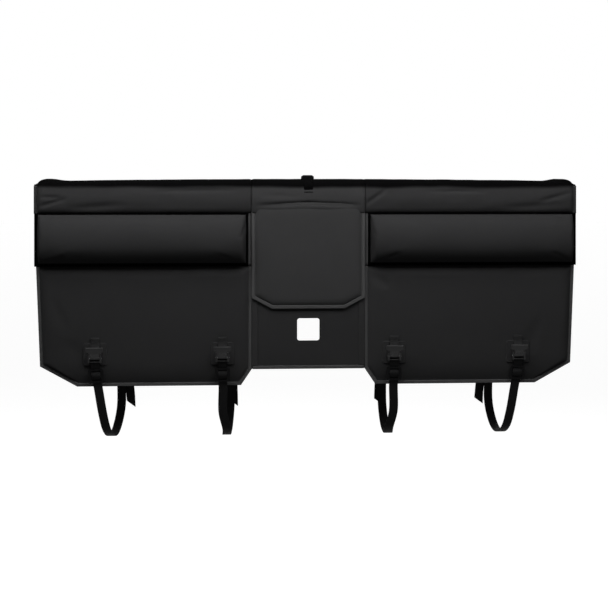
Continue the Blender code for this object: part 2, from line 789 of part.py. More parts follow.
def make_strap(name, places, side):
    """One strap: buckle, down the front, round under the tailgate and up to the ladder lock."""
    front = front_strap_route(places)
    rear = rear_strap_route(places)
    front_y = front[-1][1]
    rear_y = rear[0][1]
    depth = rear_y - front_y
    lead = (places["foot"] + places["loop"]) / 2
    half_back = (places["loop"] + places["back"]) / 2
    loop = [
        (places["foot"], 0.01, 0.06),
        (lead + LOOP_SWAY, 0.03, 0.50),
        (lead - LOOP_SWAY, 0.14, 0.84),
        (places["loop"], 0.46, 1.0),
        (half_back, 0.80, 0.88),
        (places["back"], 0.96, 0.50),
        (places["back"], 1.0, 0.0),
    ]
    hang = [(x, front_y + back * depth, PANEL_FOOT_Z - down * LOOP_DROP) for x, back, down in loop]
    hang = [front[-1]] + hang + [(places["lock"], rear_y, (PANEL_FOOT_Z + LOCK_Z) / 2), rear[0]]
    route = front[:-1] + smooth_route(hang, LOOP_STEPS) + rear[1:]
    route = [(side * point[0], point[1], point[2]) for point in route]
    ribbon(name, route, TAIL_CUT)


def tab_loop(name, x, face_y, direction, bar_z, bar_distance, wrap):
    """A short doubled tab of webbing that holds a bar and is sewn to the panel above it."""
    lower = HALF_WEBBING + CLEARANCE
    upper = lower + LAYER_PITCH
    top = bar_z + TAB_LENGTH
    slope_start = bar_z + TAB_OPENING
    points = [(lower, top), (lower, slope_start)]
    points += arc((bar_distance, bar_z), wrap, 180, 360, ROUND_STEPS)
    points += [(upper, slope_start + LAYER_PITCH), (upper, top)]
    ribbon(name, [(x, face_y + direction * d, z) for d, z in points])


def cam_outline():
    """The lever's toothed cam: the teeth face the strap, and their radius drops as the lip is pressed."""
    points = []
    steps = 2 * CAM_TEETH
    for i in range(steps + 1):
        angle = CAM_START_DEG + (CAM_END_DEG - CAM_START_DEG) * i / steps
        released = max(angle, 0) / CAM_END_DEG
        radius = CAM_RADIUS + (CAM_RELEASED_RADIUS - CAM_RADIUS) * released
        if i % 2:
            radius -= CAM_TOOTH_DEPTH
        turn = math.radians(angle)
        points.append((radius * math.cos(turn), radius * math.sin(turn)))
    return points + arc((0, 0), CAM_HUB_RADIUS, HUB_START_DEG, HUB_END_DEG, HUB_STEPS)


def lever_mesh():
    """Cam, thumb plate with its grip ribs, and the flared lip, about the pin's axis."""
    width = 2 * (EAR_INNER_X - LEVER_PLAY)
    bore = arc((0, 0), PIN_RADIUS + CLEARANCE, 0, 360 - 360 / PEG_SIDES, PEG_SIDES - 1)
    cam = plate("cam", [cam_outline(), bore], width, across())
    half = width / 2
    lip = LIP_WIDTH / 2
    outline = [
        (-half, 0),
        (half, 0),
        (half, LEVER_FLARE_START),
        (lip, LEVER_FLARE_END),
        (lip, LEVER_LENGTH),
        (-lip, LEVER_LENGTH),
        (-lip, LEVER_FLARE_END),
        (-half, LEVER_FLARE_START),
    ]
    lean = Matrix.Rotation(LEVER_TILT, 4, "X")
    out = CAM_HUB_RADIUS - LEVER_THICKNESS / 2
    thumb = plate("thumb", [outline], LEVER_THICKNESS, lean @ facing_front(out))
    rim = peg("rim", LIP_RADIUS, LIP_WIDTH, lean @ Vector((0, -out, LEVER_LENGTH)))
    parts = [thumb, rim]
    face = out + LEVER_THICKNESS / 2
    for i in range(RIB_COUNT):
        height = RIB_START + RIB_PITCH * i
        parts.append(peg("rib", RIB_RADIUS, width - 4 * RIB_RADIUS, lean @ Vector((0, -face, height))))
    return fuse("cam_lever", cam, parts)


def buckle_frame_mesh():
    """Base plate with the anchor bar, two ears for the pin and the lower guide, about the pin's axis."""
    half = FRAME_WIDTH / 2
    slot = EAR_INNER_X
    loops = [
        rectangle(-half, -FRAME_PLATE_FOOT, half, FRAME_BAR_TOP),
        rectangle(-slot, FRAME_GUIDE_TOP, slot, FRAME_BAR_FOOT),
    ]
    plate_distance = FRAME_PLATE_HEIGHT + FRAME_PLATE_THICKNESS / 2 - CAM_PIVOT_HEIGHT
    base = plate("frame", loops, FRAME_PLATE_THICKNESS, facing_front(plate_distance))
    near = CAM_PIVOT_HEIGHT - FRAME_PLATE_HEIGHT - FRAME_PLATE_THICKNESS / 2
    far = CAM_PIVOT_HEIGHT - EAR_DEPTH
    ear = [
        (near, -EAR_RISE),
        (near, EAR_RISE),
        (far / 2, EAR_RISE),
        (far, EAR_RISE / 2),
        (far, -EAR_RISE / 2),
        (far / 2, -EAR_RISE),
    ]
    hole = arc((0, 0), PIN_RADIUS + CLEARANCE, 0, 360 - 360 / PEG_SIDES, PEG_SIDES - 1)
    thickness = half - EAR_INNER_X
    parts = [plate("ear", [ear, hole], thickness, across(side * (half - thickness / 2)))
             for side in SIDES.values()]
    guide_y = CAM_PIVOT_HEIGHT - LOWER_GUIDE_HEIGHT
    parts.append(peg("guide", LOWER_GUIDE_RADIUS, 2 * half - thickness,
                     (0, guide_y, -LOWER_GUIDE_DROP)))
    return fuse("buckle_frame", base, parts)


def slider_mesh():
    """A flat slider with two slots and three bars."""
    bar_half = SLIDER_MIDDLE_BAR / 2
    slot_end = bar_half + SLIDER_SLOT
    height = 2 * (slot_end + SLIDER_BAR)
    slot = WEBBING_WIDTH / 2 + SIDE_PLAY
    loops = [
        rounded_rectangle(SLIDER_WIDTH, height, SLIDER_CORNER),
        rectangle(-slot, bar_half, slot, slot_end),
        rectangle(-slot, -slot_end, slot, -bar_half),
    ]
    return plate("strap_slider", loops, SLIDER_THICKNESS, facing_front(0))


def lock_mesh():
    """The ladder lock: anchor bar, middle bar and a flared lower lip, about its middle bar."""
    half = LOCK_WIDTH / 2
    lip = LOCK_LIP_WIDTH / 2
    slot = WEBBING_WIDTH / 2 + SIDE_PLAY / 2
    bar = LOCK_BAR / 2
    top = bar + LOCK_SLOT + LOCK_BAR
    lip_top = -bar - LOCK_SLOT
    outline = [
        (-lip, lip_top - LOCK_LIP),
        (lip, lip_top - LOCK_LIP),
        (lip, lip_top - LOCK_LIP / 2),
        (half, lip_top + LOCK_LIP / 2),
        (half, top),
        (-half, top),
        (-half, lip_top + LOCK_LIP / 2),
        (-lip, lip_top - LOCK_LIP / 2),
    ]
    loops = [
        outline,
        rectangle(-slot, bar, slot, bar + LOCK_SLOT),
        rectangle(-slot, lip_top, slot, -bar),
    ]
    return plate("ladder_lock", loops, LOCK_THICKNESS, facing_front(0))


def make_straps():
    """The four straps, each with its patch, cam buckle, slider, ladder lock and tabs."""
    frame = buckle_frame_mesh()
    lever = lever_mesh()
    slider = slider_mesh()
    lock = lock_mesh()
    pin = peg("pin", PIN_RADIUS, FRAME_WIDTH + 2 * PIN_STANDOFF, (0, 0, 0))
    patch = plate("patch", [rounded_rectangle(PATCH_WIDTH, PATCH_HEIGHT, PATCH_CORNER)],
                  PATCH_THICKNESS, facing_front(0))
    panel_face = FRONT_Y - PANEL_PADDING
    buckle_face = panel_face - PATCH_FACE
    rear_face = REAR_Y + REAR_PADDING
    bar_z = PIVOT_Z + (FRAME_BAR_FOOT + FRAME_BAR_TOP) / 2
    bar_distance = FRAME_PLATE_HEIGHT + FRAME_PLATE_THICKNESS / 2
    bar_wrap = wrap_radius(FRAME_PLATE_THICKNESS, FRAME_BAR_TOP - FRAME_BAR_FOOT)
    lock_bar_z = LOCK_Z + LOCK_BAR + LOCK_SLOT
    lock_distance = LOCK_BACK + LOCK_THICKNESS / 2
    patch_z = PIVOT_Z - FRAME_PLATE_FOOT - CLEARANCE + PATCH_HEIGHT / 2 - LOWER_GUIDE_DROP

    for side_name, side in SIDES.items():
        for strap in (OUTER_STRAP, INNER_STRAP):
            prefix = side_name + "_" + strap["name"] + "_"
            places = strap_places(strap)
            x = side * places["buckle"]
            pivot = (x, buckle_face - CAM_PIVOT_HEIGHT, PIVOT_Z)
            place(prefix + "patch", patch, VINYL,
                  (x, panel_face - CLEARANCE - PATCH_THICKNESS / 2, patch_z))
            place(prefix + "buckle_frame", frame, PLASTIC, pivot)
            place(prefix + "cam_lever", lever, PLASTIC, pivot)
            place(prefix + "cam_pin", pin, STEEL, pivot)
            tab_loop(prefix + "buckle_tab", x, buckle_face, -1, bar_z, bar_distance, bar_wrap)
            lean = math.atan2(places["buckle"] - places["slider"], SLIDER_DROP)
            slider_x = places["buckle"] - (PIVOT_Z - FRAME_PLATE_FOOT - SLIDER_Z) * math.tan(lean)
            place(prefix + "slider", slider, PLASTIC,
                  (side * slider_x, buckle_face - SLIDER_BACK - SLIDER_THICKNESS / 2, SLIDER_Z),
                  (0, side * lean, 0))
            make_strap(prefix + "strap", places, side)
            lock_x = side * places["lock"]
            place(prefix + "ladder_lock", lock, PLASTIC, (lock_x, rear_face + lock_distance, LOCK_Z),
                  (0, 0, math.pi))
            tab_loop(prefix + "lock_tab", lock_x, rear_face, 1, lock_bar_z, lock_distance,
                     wrap_radius(LOCK_THICKNESS, LOCK_BAR))


def top_strap_route(sign, drop, bar_y, bar_z, wrap):
    """Webbing from its sewn end up the saddle's wall, over the roll and round the buckle's bar.

    Sign is -1 for the front strap and 1 for the one on the bed side.
    """
    outer, _ = saddle_walls(CENTRE_BAND_FOOT_Z, CENTRE_BAND_PADDING)
    rise = CLEARANCE + HALF_WEBBING
    mitres = corner_mitres(outer, closed=False)
    skin = [(y + m.x * rise, z + m.y * rise) for (y, z), m in zip(outer, mitres)]
    wall = [point for point in (skin if sign < 0 else skin[::-1]) if point[0] * sign > 0]
    above = [point for point in wall if point[1] > -drop]
    below = [point for point in wall if point[1] <= -drop][-1]
    share = (-drop - below[1]) / (above[0][1] - below[1])
    route = [(below[0] + (above[0][0] - below[0]) * share, -drop)] + above
    route += [(bar_y - sign * c, bar_z + s) for c, s in arc((0, 0), wrap, -90, 150, 2 * ROUND_STEPS)]
    fold_z = TOP_PADDING + rise + LAYER_PITCH
    fold_y = bar_y + sign * (wrap + TOP_STRAP_LEAD)
    route += [(fold_y, fold_z), (fold_y + sign * TOP_STRAP_FOLD, fold_z)]
    return [(0.0, y, z) for y, z in route]


def buckle_half(name, low_y, high_y, bar_sign, bar_z):
    """One half of the top buckle's body, with the slot and the low bar that its strap goes round."""
    half = TOP_BUCKLE_WIDTH / 2
    seat = TOP_PADDING + CLEARANCE
    top = seat + TOP_BUCKLE_HEIGHT
    shell = [
        (-half, seat),
        (half, seat),
        (half, top - TOP_BUCKLE_CHAMFER_HEIGHT),
        (half - TOP_BUCKLE_CHAMFER_WIDTH, top),
        (TOP_BUCKLE_CHAMFER_WIDTH - half, top),
        (-half, top - TOP_BUCKLE_CHAMFER_HEIGHT),
    ]
    body = plate(name, [shell], high_y - low_y, facing_front(-(low_y + high_y) / 2))
    end = high_y if bar_sign > 0 else low_y
    past = end + bar_sign * TOP_BUCKLE_WALL
    bar_inner = end - bar_sign * TOP_BAR_LENGTH
    slot_inner = bar_inner - bar_sign * TOP_SLOT_LENGTH
    slot_x = WEBBING_WIDTH / 2 + SIDE_PLAY / 2
    bar_low = bar_z - TOP_BAR_THICKNESS / 2
    bar_high = bar_z + TOP_BAR_THICKNESS / 2
    cuts = []
    for inner, x, low, high in (
        (slot_inner, slot_x, seat - TOP_BUCKLE_WALL, top + TOP_BUCKLE_WALL),
        (past, half + TOP_BUCKLE_WALL, bar_high, top + TOP_BUCKLE_WALL),
        (past, half + TOP_BUCKLE_WALL, seat - TOP_BUCKLE_WALL, bar_low),
    ):
        ends = sorted((inner, bar_inner))
        cuts.append(block("bar_cut", (-x, ends[0], low), (x, ends[1], high)))
    return fuse(name, body, cuts, "DIFFERENCE"), end - bar_sign * TOP_BAR_LENGTH / 2, slot_inner


def make_top_buckle():
    """A two-part quick-release buckle that lies across the top, sewn on by a strap on each side."""
    half = TOP_BUCKLE_WIDTH / 2
    seat = TOP_PADDING + CLEARANCE
    wall = TOP_BUCKLE_WALL
    mouth_y = TOP_BUCKLE_SHIFT
    wrap = wrap_radius(TOP_BAR_THICKNESS, TOP_BAR_LENGTH)
    bar_z = TOP_PADDING + CLEARANCE + HALF_WEBBING + wrap

    body, rear_bar_y, slot_y = buckle_half("socket", mouth_y, mouth_y + SOCKET_LENGTH, 1, bar_z)
    cavity_end = slot_y - wall
    cuts = [block("cavity", (wall - half, mouth_y - wall, seat + wall),
                  (half - wall, cavity_end, seat + TOP_BUCKLE_HEIGHT - wall))]
    prong_middle = seat + TOP_BUCKLE_HEIGHT / 2
    notch_y = mouth_y + SOCKET_NOTCH_START
    for side in SIDES.values():
        ends = sorted((side * (half - 2 * wall), side * (half + wall)))
        cuts.append(block("notch", (ends[0], notch_y, prong_middle - PRONG_HEIGHT),
                          (ends[1], notch_y + SOCKET_NOTCH_LENGTH, prong_middle + PRONG_HEIGHT)))
    place("top_buckle_socket", fuse("top_buckle_socket", body, cuts, "DIFFERENCE"), PLASTIC)

    plug_end = mouth_y - CLEARANCE
    base_length = PLUG_BASE_LENGTH + TOP_SLOT_LENGTH + TOP_BAR_LENGTH
    base, front_bar_y, _ = buckle_half("plug", plug_end - base_length, plug_end, -1, bar_z)
    low = prong_middle - PRONG_HEIGHT / 2
    root_y = plug_end - wall
    prongs = [block("prong", (-PRONG_WIDTH / 2, root_y, low),
                    (PRONG_WIDTH / 2, mouth_y + MIDDLE_PRONG_LENGTH, low + PRONG_HEIGHT))]
    barb = half - wall - CLEARANCE
    outer = barb - BARB_DEPTH
    inner = outer - PRONG_WIDTH
    prong = [
        (inner, root_y),
        (outer, root_y),
        (outer, mouth_y + BARB_START * PRONG_LENGTH),
        (barb, mouth_y + BARB_PEAK * PRONG_LENGTH),
        (outer, mouth_y + PRONG_LENGTH),
        (inner, mouth_y + PRONG_LENGTH),
    ]
    level = Matrix.Translation((0, 0, prong_middle))
    for side in SIDES.values():
        prongs.append(plate("side_prong", [mirrored(prong, side)], PRONG_HEIGHT, level))
    place("top_buckle_plug", fuse("top_buckle_plug", base, prongs), PLASTIC)

    ribbon("top_front_strap",
           top_strap_route(-1, TOP_STRAP_FRONT_DROP, front_bar_y, bar_z, wrap))
    ribbon("top_rear_strap",
           top_strap_route(1, TOP_STRAP_REAR_DROP, rear_bar_y, bar_z, wrap))


make_saddles()
for side_label, side_sign in SIDES.items():
    make_bolster(side_label, side_sign)
    make_side_panel(side_label, side_sign)
make_centre_panel()
make_flap()
make_inner_panel()
make_straps()
make_top_buckle()
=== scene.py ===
"""Looks of the tailgate bike pad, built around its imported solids. Metres, +Z up, -Y is the front."""
import math

import bpy
import numpy as np
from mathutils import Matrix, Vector, noise


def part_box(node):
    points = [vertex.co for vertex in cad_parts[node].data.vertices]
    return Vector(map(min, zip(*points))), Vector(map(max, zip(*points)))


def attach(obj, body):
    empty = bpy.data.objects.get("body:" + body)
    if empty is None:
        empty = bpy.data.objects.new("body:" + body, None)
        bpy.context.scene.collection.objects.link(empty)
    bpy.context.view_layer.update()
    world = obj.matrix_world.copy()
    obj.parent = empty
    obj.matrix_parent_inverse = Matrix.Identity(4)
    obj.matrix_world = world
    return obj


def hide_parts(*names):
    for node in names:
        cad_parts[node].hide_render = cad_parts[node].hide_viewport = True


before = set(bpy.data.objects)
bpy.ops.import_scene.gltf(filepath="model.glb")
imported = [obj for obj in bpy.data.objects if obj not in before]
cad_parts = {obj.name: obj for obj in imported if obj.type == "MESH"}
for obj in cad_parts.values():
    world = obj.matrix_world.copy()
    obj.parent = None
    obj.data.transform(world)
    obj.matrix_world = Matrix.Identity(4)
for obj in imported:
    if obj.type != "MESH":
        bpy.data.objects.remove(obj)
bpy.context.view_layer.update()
SIDES = {"left": -1, "right": 1}

# Studio: the pad hangs at a tailgate's height over a pale floor. A soft lamp hangs high in front of
# it and one behind it, a wide weak one stands low in front, and the photograph's white lies all round.
CAMERA_DISTANCE = 3.5
CAMERA_YAW_DEG = 3.2
CAMERA_FOCAL_PX = 1208.0
PHOTO_SIDE_PX = 608.0
HORIZON_PX = 184.4
MIDDLE_PX = 308.5
SENSOR_MM = 36.0
PANEL_FRONT_Y = -0.058
FLOOR_Z = -1.4
FLOOR_HALF_SIDE = 40.0
FLOOR_COLOUR = (0.20, 0.20, 0.20, 1.0)
FLOOR_ROUGHNESS = 0.9
FLOOR_GLOW = 0.90
WHITE = (1.0, 1.0, 1.0, 1.0)
AMBIENT = 0.04
LAMPS = {
    "key": {"watts": 44.0, "sides": (2.6, 0.7), "place": (-0.1, -0.75, 0.85)},
    "fill": {"watts": 1.5, "sides": (3.0, 3.0), "place": (0.6, -3.4, 0.2)},
    "rear": {"watts": 120.0, "sides": (2.6, 1.6), "place": (0.4, 1.90, 1.70)},
}
LAMPS_AIM = Vector((0.0, 0.0, -0.25))

scene = bpy.context.scene
scene.view_settings.view_transform = "Standard"


def add_object(name, data):
    made = bpy.data.objects.new(name, data)
    scene.collection.objects.link(made)
    return made


def add_node(tree, kind, inputs, **settings):
    """A new node with its settings, and each input set to a value or linked to another node's output."""
    node = tree.nodes.new(kind)
    for name, value in settings.items():
        setattr(node, name, value)
    for name, value in inputs.items():
        if isinstance(value, bpy.types.NodeSocket):
            tree.links.new(value, node.inputs[name])
        else:
            node.inputs[name].default_value = value
    return node


def math_node(tree, operation, *values, clamp=False):
    node = add_node(tree, "ShaderNodeMath", dict(enumerate(values)), operation=operation, use_clamp=clamp)
    return node.outputs[0]


def ramp(tree, value, low, high, to_low=0.0, to_high=1.0):
    inputs = {"Value": value, "From Min": low, "From Max": high, "To Min": to_low, "To Max": to_high}
    return add_node(tree, "ShaderNodeMapRange", inputs, interpolation_type="SMOOTHSTEP").outputs["Result"]


def new_finish(name, inputs):
    """A new material, its node tree and its shader, with values for the shader's inputs."""
    finish = bpy.data.materials.new(name)
    finish.use_nodes = True
    shader = finish.node_tree.nodes["Principled BSDF"]
    for entry, value in inputs.items():
        shader.inputs[entry].default_value = value
    return finish, finish.node_tree, shader


def seen_as_background(tree):
    """A value of 1 for camera, glossy and transmission rays, and of 0 for the light that falls on things."""
    rays = tree.nodes.new("ShaderNodeLightPath").outputs
    straight = math_node(tree, "ADD", rays["Is Camera Ray"], rays["Is Glossy Ray"], clamp=True)
    return math_node(tree, "ADD", straight, rays["Is Transmission Ray"], clamp=True)


camera_data = bpy.data.cameras.new("camera")
camera_data.sensor_width = SENSOR_MM
camera_data.lens = CAMERA_FOCAL_PX / PHOTO_SIDE_PX * SENSOR_MM
camera_data.shift_x = (PHOTO_SIDE_PX / 2 - MIDDLE_PX) / PHOTO_SIDE_PX
camera_data.shift_y = (HORIZON_PX - PHOTO_SIDE_PX / 2) / PHOTO_SIDE_PX
camera_data.clip_end = 4 * FLOOR_HALF_SIDE
camera = add_object("camera", camera_data)
yaw = math.radians(CAMERA_YAW_DEG)
camera.location = (-CAMERA_DISTANCE * math.sin(yaw), PANEL_FRONT_Y - CAMERA_DISTANCE * math.cos(yaw), 0.0)
camera.rotation_euler = (math.pi / 2, 0.0, -yaw)
scene.camera = camera

for label, lamp in LAMPS.items():
    light = bpy.data.lights.new(label, "AREA")
    light.energy = lamp["watts"]
    light.shape = "RECTANGLE"
    light.size, light.size_y = lamp["sides"]
    hung = add_object(label, light)
    hung.location = lamp["place"]
    hung.rotation_euler = (LAMPS_AIM - hung.location).to_track_quat("-Z", "Y").to_euler()

world = bpy.data.worlds.new("white_room")
scene.world = world
world.use_nodes = True
room = world.node_tree
background = room.nodes["Background"].inputs
background["Color"].default_value = WHITE
room.links.new(ramp(room, seen_as_background(room), 0.0, 1.0, AMBIENT, 1.0), background["Strength"])

floor_mesh = bpy.data.meshes.new("floor")
floor_corners = [(x * FLOOR_HALF_SIDE, y * FLOOR_HALF_SIDE, FLOOR_Z)
                 for x, y in ((-1, -1), (1, -1), (1, 1), (-1, 1))]
floor_mesh.from_pydata(floor_corners, [], [(0, 1, 2, 3)])
floor_finish, floor_tree, paint = new_finish("floor_finish", {
    "Base Color": FLOOR_COLOUR, "Roughness": FLOOR_ROUGHNESS, "Emission Color": WHITE})
glow = ramp(floor_tree, seen_as_background(floor_tree), 0.0, 1.0, 0.0, FLOOR_GLOW)
floor_tree.links.new(glow, paint.inputs["Emission Strength"])
floor_mesh.materials.append(floor_finish)
floor = add_object("floor", floor_mesh)

# Saddles: three lengths of coated cloth over foam that lie across the tailgate's top edge, sewn end to
# end. The cloth is a coarse weave under a matt coating. Over the roll its colour turns near black with a
# soft, wavy edge: painted shade.
FRONT_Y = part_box("left_lower_panel")[1].y
REAR_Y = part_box("inner_panel")[0].y
SADDLE_STEP = 0.004
ROLL_START_Z = -0.010
# Height, softness and wander of the edge where the roll's painted shade begins.
TOP_SHADE_Z = -0.0085
TOP_SHADE_BLEND = 0.0065
TOP_SHADE_WAVER = 0.012
SADDLE_GRAIN = 1250.0
VINYL_COLOUR = (0.0235, 0.0235, 0.0240, 1.0)
CENTRE_COLOUR = (0.0280, 0.0280, 0.0285, 1.0)
# Near black over the roll: painted shade.
ROLL_PAINTED_SHADE_COLOUR = (0.0022, 0.0022, 0.0023, 1.0)
DUST_COLOUR = (0.30, 0.29, 0.27, 1.0)
DUST_SHARE = 0.012
SLOW_SCALE = 9.0
FINE_SCALE = 70.0
DUST_SCALE = 420.0
PORE_SCALE = 900.0
TOP_SHADE_SCALE = 6.0


def noise_node(tree, vector, scale, detail=2.0):
    inputs = {"Vector": vector, "Scale": scale, "Detail": detail}
    return add_node(tree, "ShaderNodeTexNoise", inputs).outputs["Fac"]


def mix_colour(tree, share, first, second, blend="MIX"):
    """Two colours mixed: inputs 0, 6 and 7 of the node are the share and the colours, output 2 the result."""
    inputs = {0: share, 6: first, 7: second}
    return add_node(tree, "ShaderNodeMix", inputs, data_type="RGBA", blend_type=blend).outputs[2]


def new_group(name, kind, inputs, outputs):
    """A node group and its two end nodes. A socket is given as its kind, or as a number's default value."""
    tree = bpy.data.node_groups.new(name, kind)
    for way, sockets in (("INPUT", inputs), ("OUTPUT", outputs)):
        for label, form in sockets.items():
            value = form if isinstance(form, float) else None
            form = "Float" if value is not None else form
            made = tree.interface.new_socket(label, in_out=way, socket_type="NodeSocket" + form)
            if value is not None:
                made.default_value = value
    return tree, tree.nodes.new("NodeGroupInput"), tree.nodes.new("NodeGroupOutput")


def make_weave_group():
    """Plain weave: threads that pass over and under each other, with a share of coating in the gaps."""
    tree, into, out = new_group("plain_weave", "ShaderNodeTree",
                                {"Cloth": "Vector", "Threads per metre": 1000.0, "Coating": 0.5},
                                {"Relief": "Float", "Shade": "Float"})
    split = add_node(tree, "ShaderNodeSeparateXYZ", {0: into.outputs["Cloth"]}).outputs
    turns = math_node(tree, "MULTIPLY", into.outputs["Threads per metre"], math.pi)
    waves = [math_node(tree, "SINE", math_node(tree, "MULTIPLY", split[axis], turns)) for axis in "XY"]
    over = ramp(tree, math_node(tree, "MULTIPLY", *waves), -0.25, 0.25)
    crowns = [math_node(tree, "ABSOLUTE", wave) for wave in waves]
    difference = math_node(tree, "SUBTRACT", crowns[1], crowns[0])
    woven = math_node(tree, "MULTIPLY_ADD", difference, over, crowns[0])
    filled = math_node(tree, "MAXIMUM", woven, into.outputs["Coating"])
    tree.links.new(filled, out.inputs["Relief"])
    tree.links.new(ramp(tree, woven, 0.0, 0.6, 0.75, 1.0), out.inputs["Shade"])
    return tree


def make_handling_group():
    """Slow changes in tone and gloss that handling and folding leave on coated cloth, with faint dust."""
    tree, into, out = new_group("handling", "ShaderNodeTree",
                                {"Position": "Vector", "Colour": "Color", "Colour change": 0.1, "Shade": 1.0,
                                 "Roughness": 0.6}, {"Colour": "Color", "Roughness": "Float"})
    place, colour, change, shade, roughness = into.outputs[:5]
    slow = math_node(tree, "SUBTRACT", noise_node(tree, place, SLOW_SCALE, 3.0), 0.5)
    fine = math_node(tree, "SUBTRACT", noise_node(tree, place, FINE_SCALE, 4.0), 0.5)
    both = math_node(tree, "MULTIPLY_ADD", fine, 0.4, slow)
    level = math_node(tree, "MULTIPLY", math_node(tree, "MULTIPLY_ADD", both, change, 1.0), shade)
    grey = add_node(tree, "ShaderNodeCombineColor", {"Red": level, "Green": level, "Blue": level})
    tinted = mix_colour(tree, 1.0, colour, grey.outputs["Color"], "MULTIPLY")
    specks = ramp(tree, noise_node(tree, place, DUST_SCALE, 1.0), 0.70, 0.80, 0.0, DUST_SHARE)
    tree.links.new(mix_colour(tree, specks, tinted, DUST_COLOUR), out.inputs["Colour"])
    rough = math_node(tree, "MULTIPLY_ADD", slow, -0.18, roughness)
    tree.links.new(math_node(tree, "MULTIPLY_ADD", fine, 0.10, rough), out.inputs["Roughness"])
    return tree


WEAVE = make_weave_group()
HANDLING = make_handling_group()


def link_surface(tree, shader, handling, height, distance, strength=1.0):
    """Links a shader to the handling group with its inputs, and to a bump of the given height."""
    worn = add_node(tree, "ShaderNodeGroup", handling, node_tree=HANDLING).outputs
    bump = add_node(tree, "ShaderNodeBump", {"Height": height, "Distance": distance, "Strength": strength})
    tree.links.new(worn["Colour"], shader.inputs["Base Color"])
    tree.links.new(worn["Roughness"], shader.inputs["Roughness"])
    tree.links.new(bump.outputs["Normal"], shader.inputs["Normal"])


def cloth_finish(name, colour, roughness=0.58, threads=SADDLE_GRAIN, coating=0.45, relief=0.00012,
                 change=0.12, specular=0.0, sheen=0.0, top_shade_colour=None):
    """A woven cloth that reads its threads from the piece's own UV map, laid out in metres."""
    finish, tree, shader = new_finish(name, {
        "Specular IOR Level": specular, "Sheen Weight": sheen, "Sheen Roughness": 0.5})
    cloth = add_node(tree, "ShaderNodeUVMap", {}, uv_map="cloth").outputs["UV"]
    place = tree.nodes.new("ShaderNodeTexCoord").outputs["Object"]
    weave = add_node(tree, "ShaderNodeGroup", {
        "Cloth": cloth, "Threads per metre": threads, "Coating": coating}, node_tree=WEAVE).outputs
    # Above a wavy height the colour turns to the top colour: painted shade over the roll.
    if top_shade_colour is not None:
        height = add_node(tree, "ShaderNodeSeparateXYZ", {0: place}).outputs["Z"]
        wave = math_node(tree, "SUBTRACT", noise_node(tree, place, TOP_SHADE_SCALE), 0.5)
        level = math_node(tree, "MULTIPLY_ADD", wave, TOP_SHADE_WAVER, height)
        skin = ramp(tree, level, TOP_SHADE_Z - TOP_SHADE_BLEND, TOP_SHADE_Z + TOP_SHADE_BLEND)
        colour = mix_colour(tree, skin, colour, top_shade_colour)
    handling = {"Position": place, "Shade": weave["Shade"], "Colour": colour, "Colour change": change,
                "Roughness": roughness}
    height = math_node(tree, "MULTIPLY_ADD", noise_node(tree, place, PORE_SCALE), 0.5, weave["Relief"])
    link_surface(tree, shader, handling, height, relief, 0.8)
    return finish


def smooth_noise(x, y, z, scale, seed):
    """Slow noise from -1 to 1, with its own place for each seed."""
    return noise.noise(Vector((x * scale + 17.3 * seed, y * scale - 5.1 * seed, z * scale + 3.7 * seed)))


def crease(u, v, start, end, width, depth):
    """A fold's height at a point of the cloth: a long dip or ridge along a line that fades at both ends."""
    line = np.array(end) - np.array(start)
    length = np.hypot(*line)
    du = u - start[0]
    dv = v - start[1]
    along = (du * line[0] + dv * line[1]) / length ** 2
    off = (du * line[1] - dv * line[0]) / length
    fade = np.clip(1.0 - (2.0 * along - 1.0) ** 2, 0.0, 1.0)
    return depth * fade * np.exp(-(off / width) ** 2)


def skin_body(name, front, back, finish, flip=False):
    """A closed body from a grid of points for its outer skin and one for its inner, joined round the rim.

    Rows and columns of both grids match. The UV map follows the skin's real lengths in metres.
    """
    rows, columns, _ = front.shape
    step_v = np.linalg.norm(np.diff(front, axis=0), axis=2)
    step_u = np.linalg.norm(np.diff(front, axis=1), axis=2)
    lay_v = np.vstack([np.zeros((1, columns)), np.cumsum(step_v, axis=0)])
    lay_u = np.hstack([np.zeros((rows, 1)), np.cumsum(step_u, axis=1)])
    lay_u -= lay_u[:, columns // 2][:, None]
    count = rows * columns
    points = np.vstack([front.reshape(-1, 3), back.reshape(-1, 3)])
    uvs = np.vstack([np.stack([lay_u, lay_v], axis=2).reshape(-1, 2)] * 2)
    index = np.arange(count).reshape(rows, columns)
    cells = np.stack([index[:-1, :-1], index[:-1, 1:], index[1:, 1:], index[1:, :-1]], axis=2).reshape(-1, 4)
    rim = np.concatenate([index[0, :], index[1:, -1], index[-1, -2::-1], index[-2:0:-1, 0]])
    after = np.roll(rim, -1)
    walls = np.stack([after, rim, rim + count, after + count], axis=1)
    faces = np.vstack([cells, cells[:, ::-1] + count, walls])
    if flip:
        faces = faces[:, ::-1]
    mesh = bpy.data.meshes.new(name)
    mesh.from_pydata(points.tolist(), [], faces.tolist())
    layer = mesh.uv_layers.new(name="cloth")
    loops = np.zeros(len(mesh.loops), np.int32)
    mesh.loops.foreach_get("vertex_index", loops)
    layer.data.foreach_set("uv", uvs[loops].astype(np.float32).ravel())
    mesh.shade_smooth()
    mesh.materials.append(finish)
    return add_object(name, mesh)


def finished(body, slot, *nodes):
    """The calls that every soft piece needs once its mesh is final."""
    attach(body, "pad")
    if nodes:
        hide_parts(*nodes)


def clamped(value):
    return min(max(value, 0.0), 1.0)


def quarter_arc(share):
    """A quarter circle's height over its run: steep at 0 and level at 1."""
    return math.sqrt(1.0 - (1.0 - clamped(share)) ** 2)


def arc_points(centre, radius, start_deg, end_deg, steps):
    angles = np.radians(np.linspace(start_deg, end_deg, steps + 1))
    return np.stack([centre[0] + radius * np.cos(angles), centre[1] + radius * np.sin(angles)], axis=1)


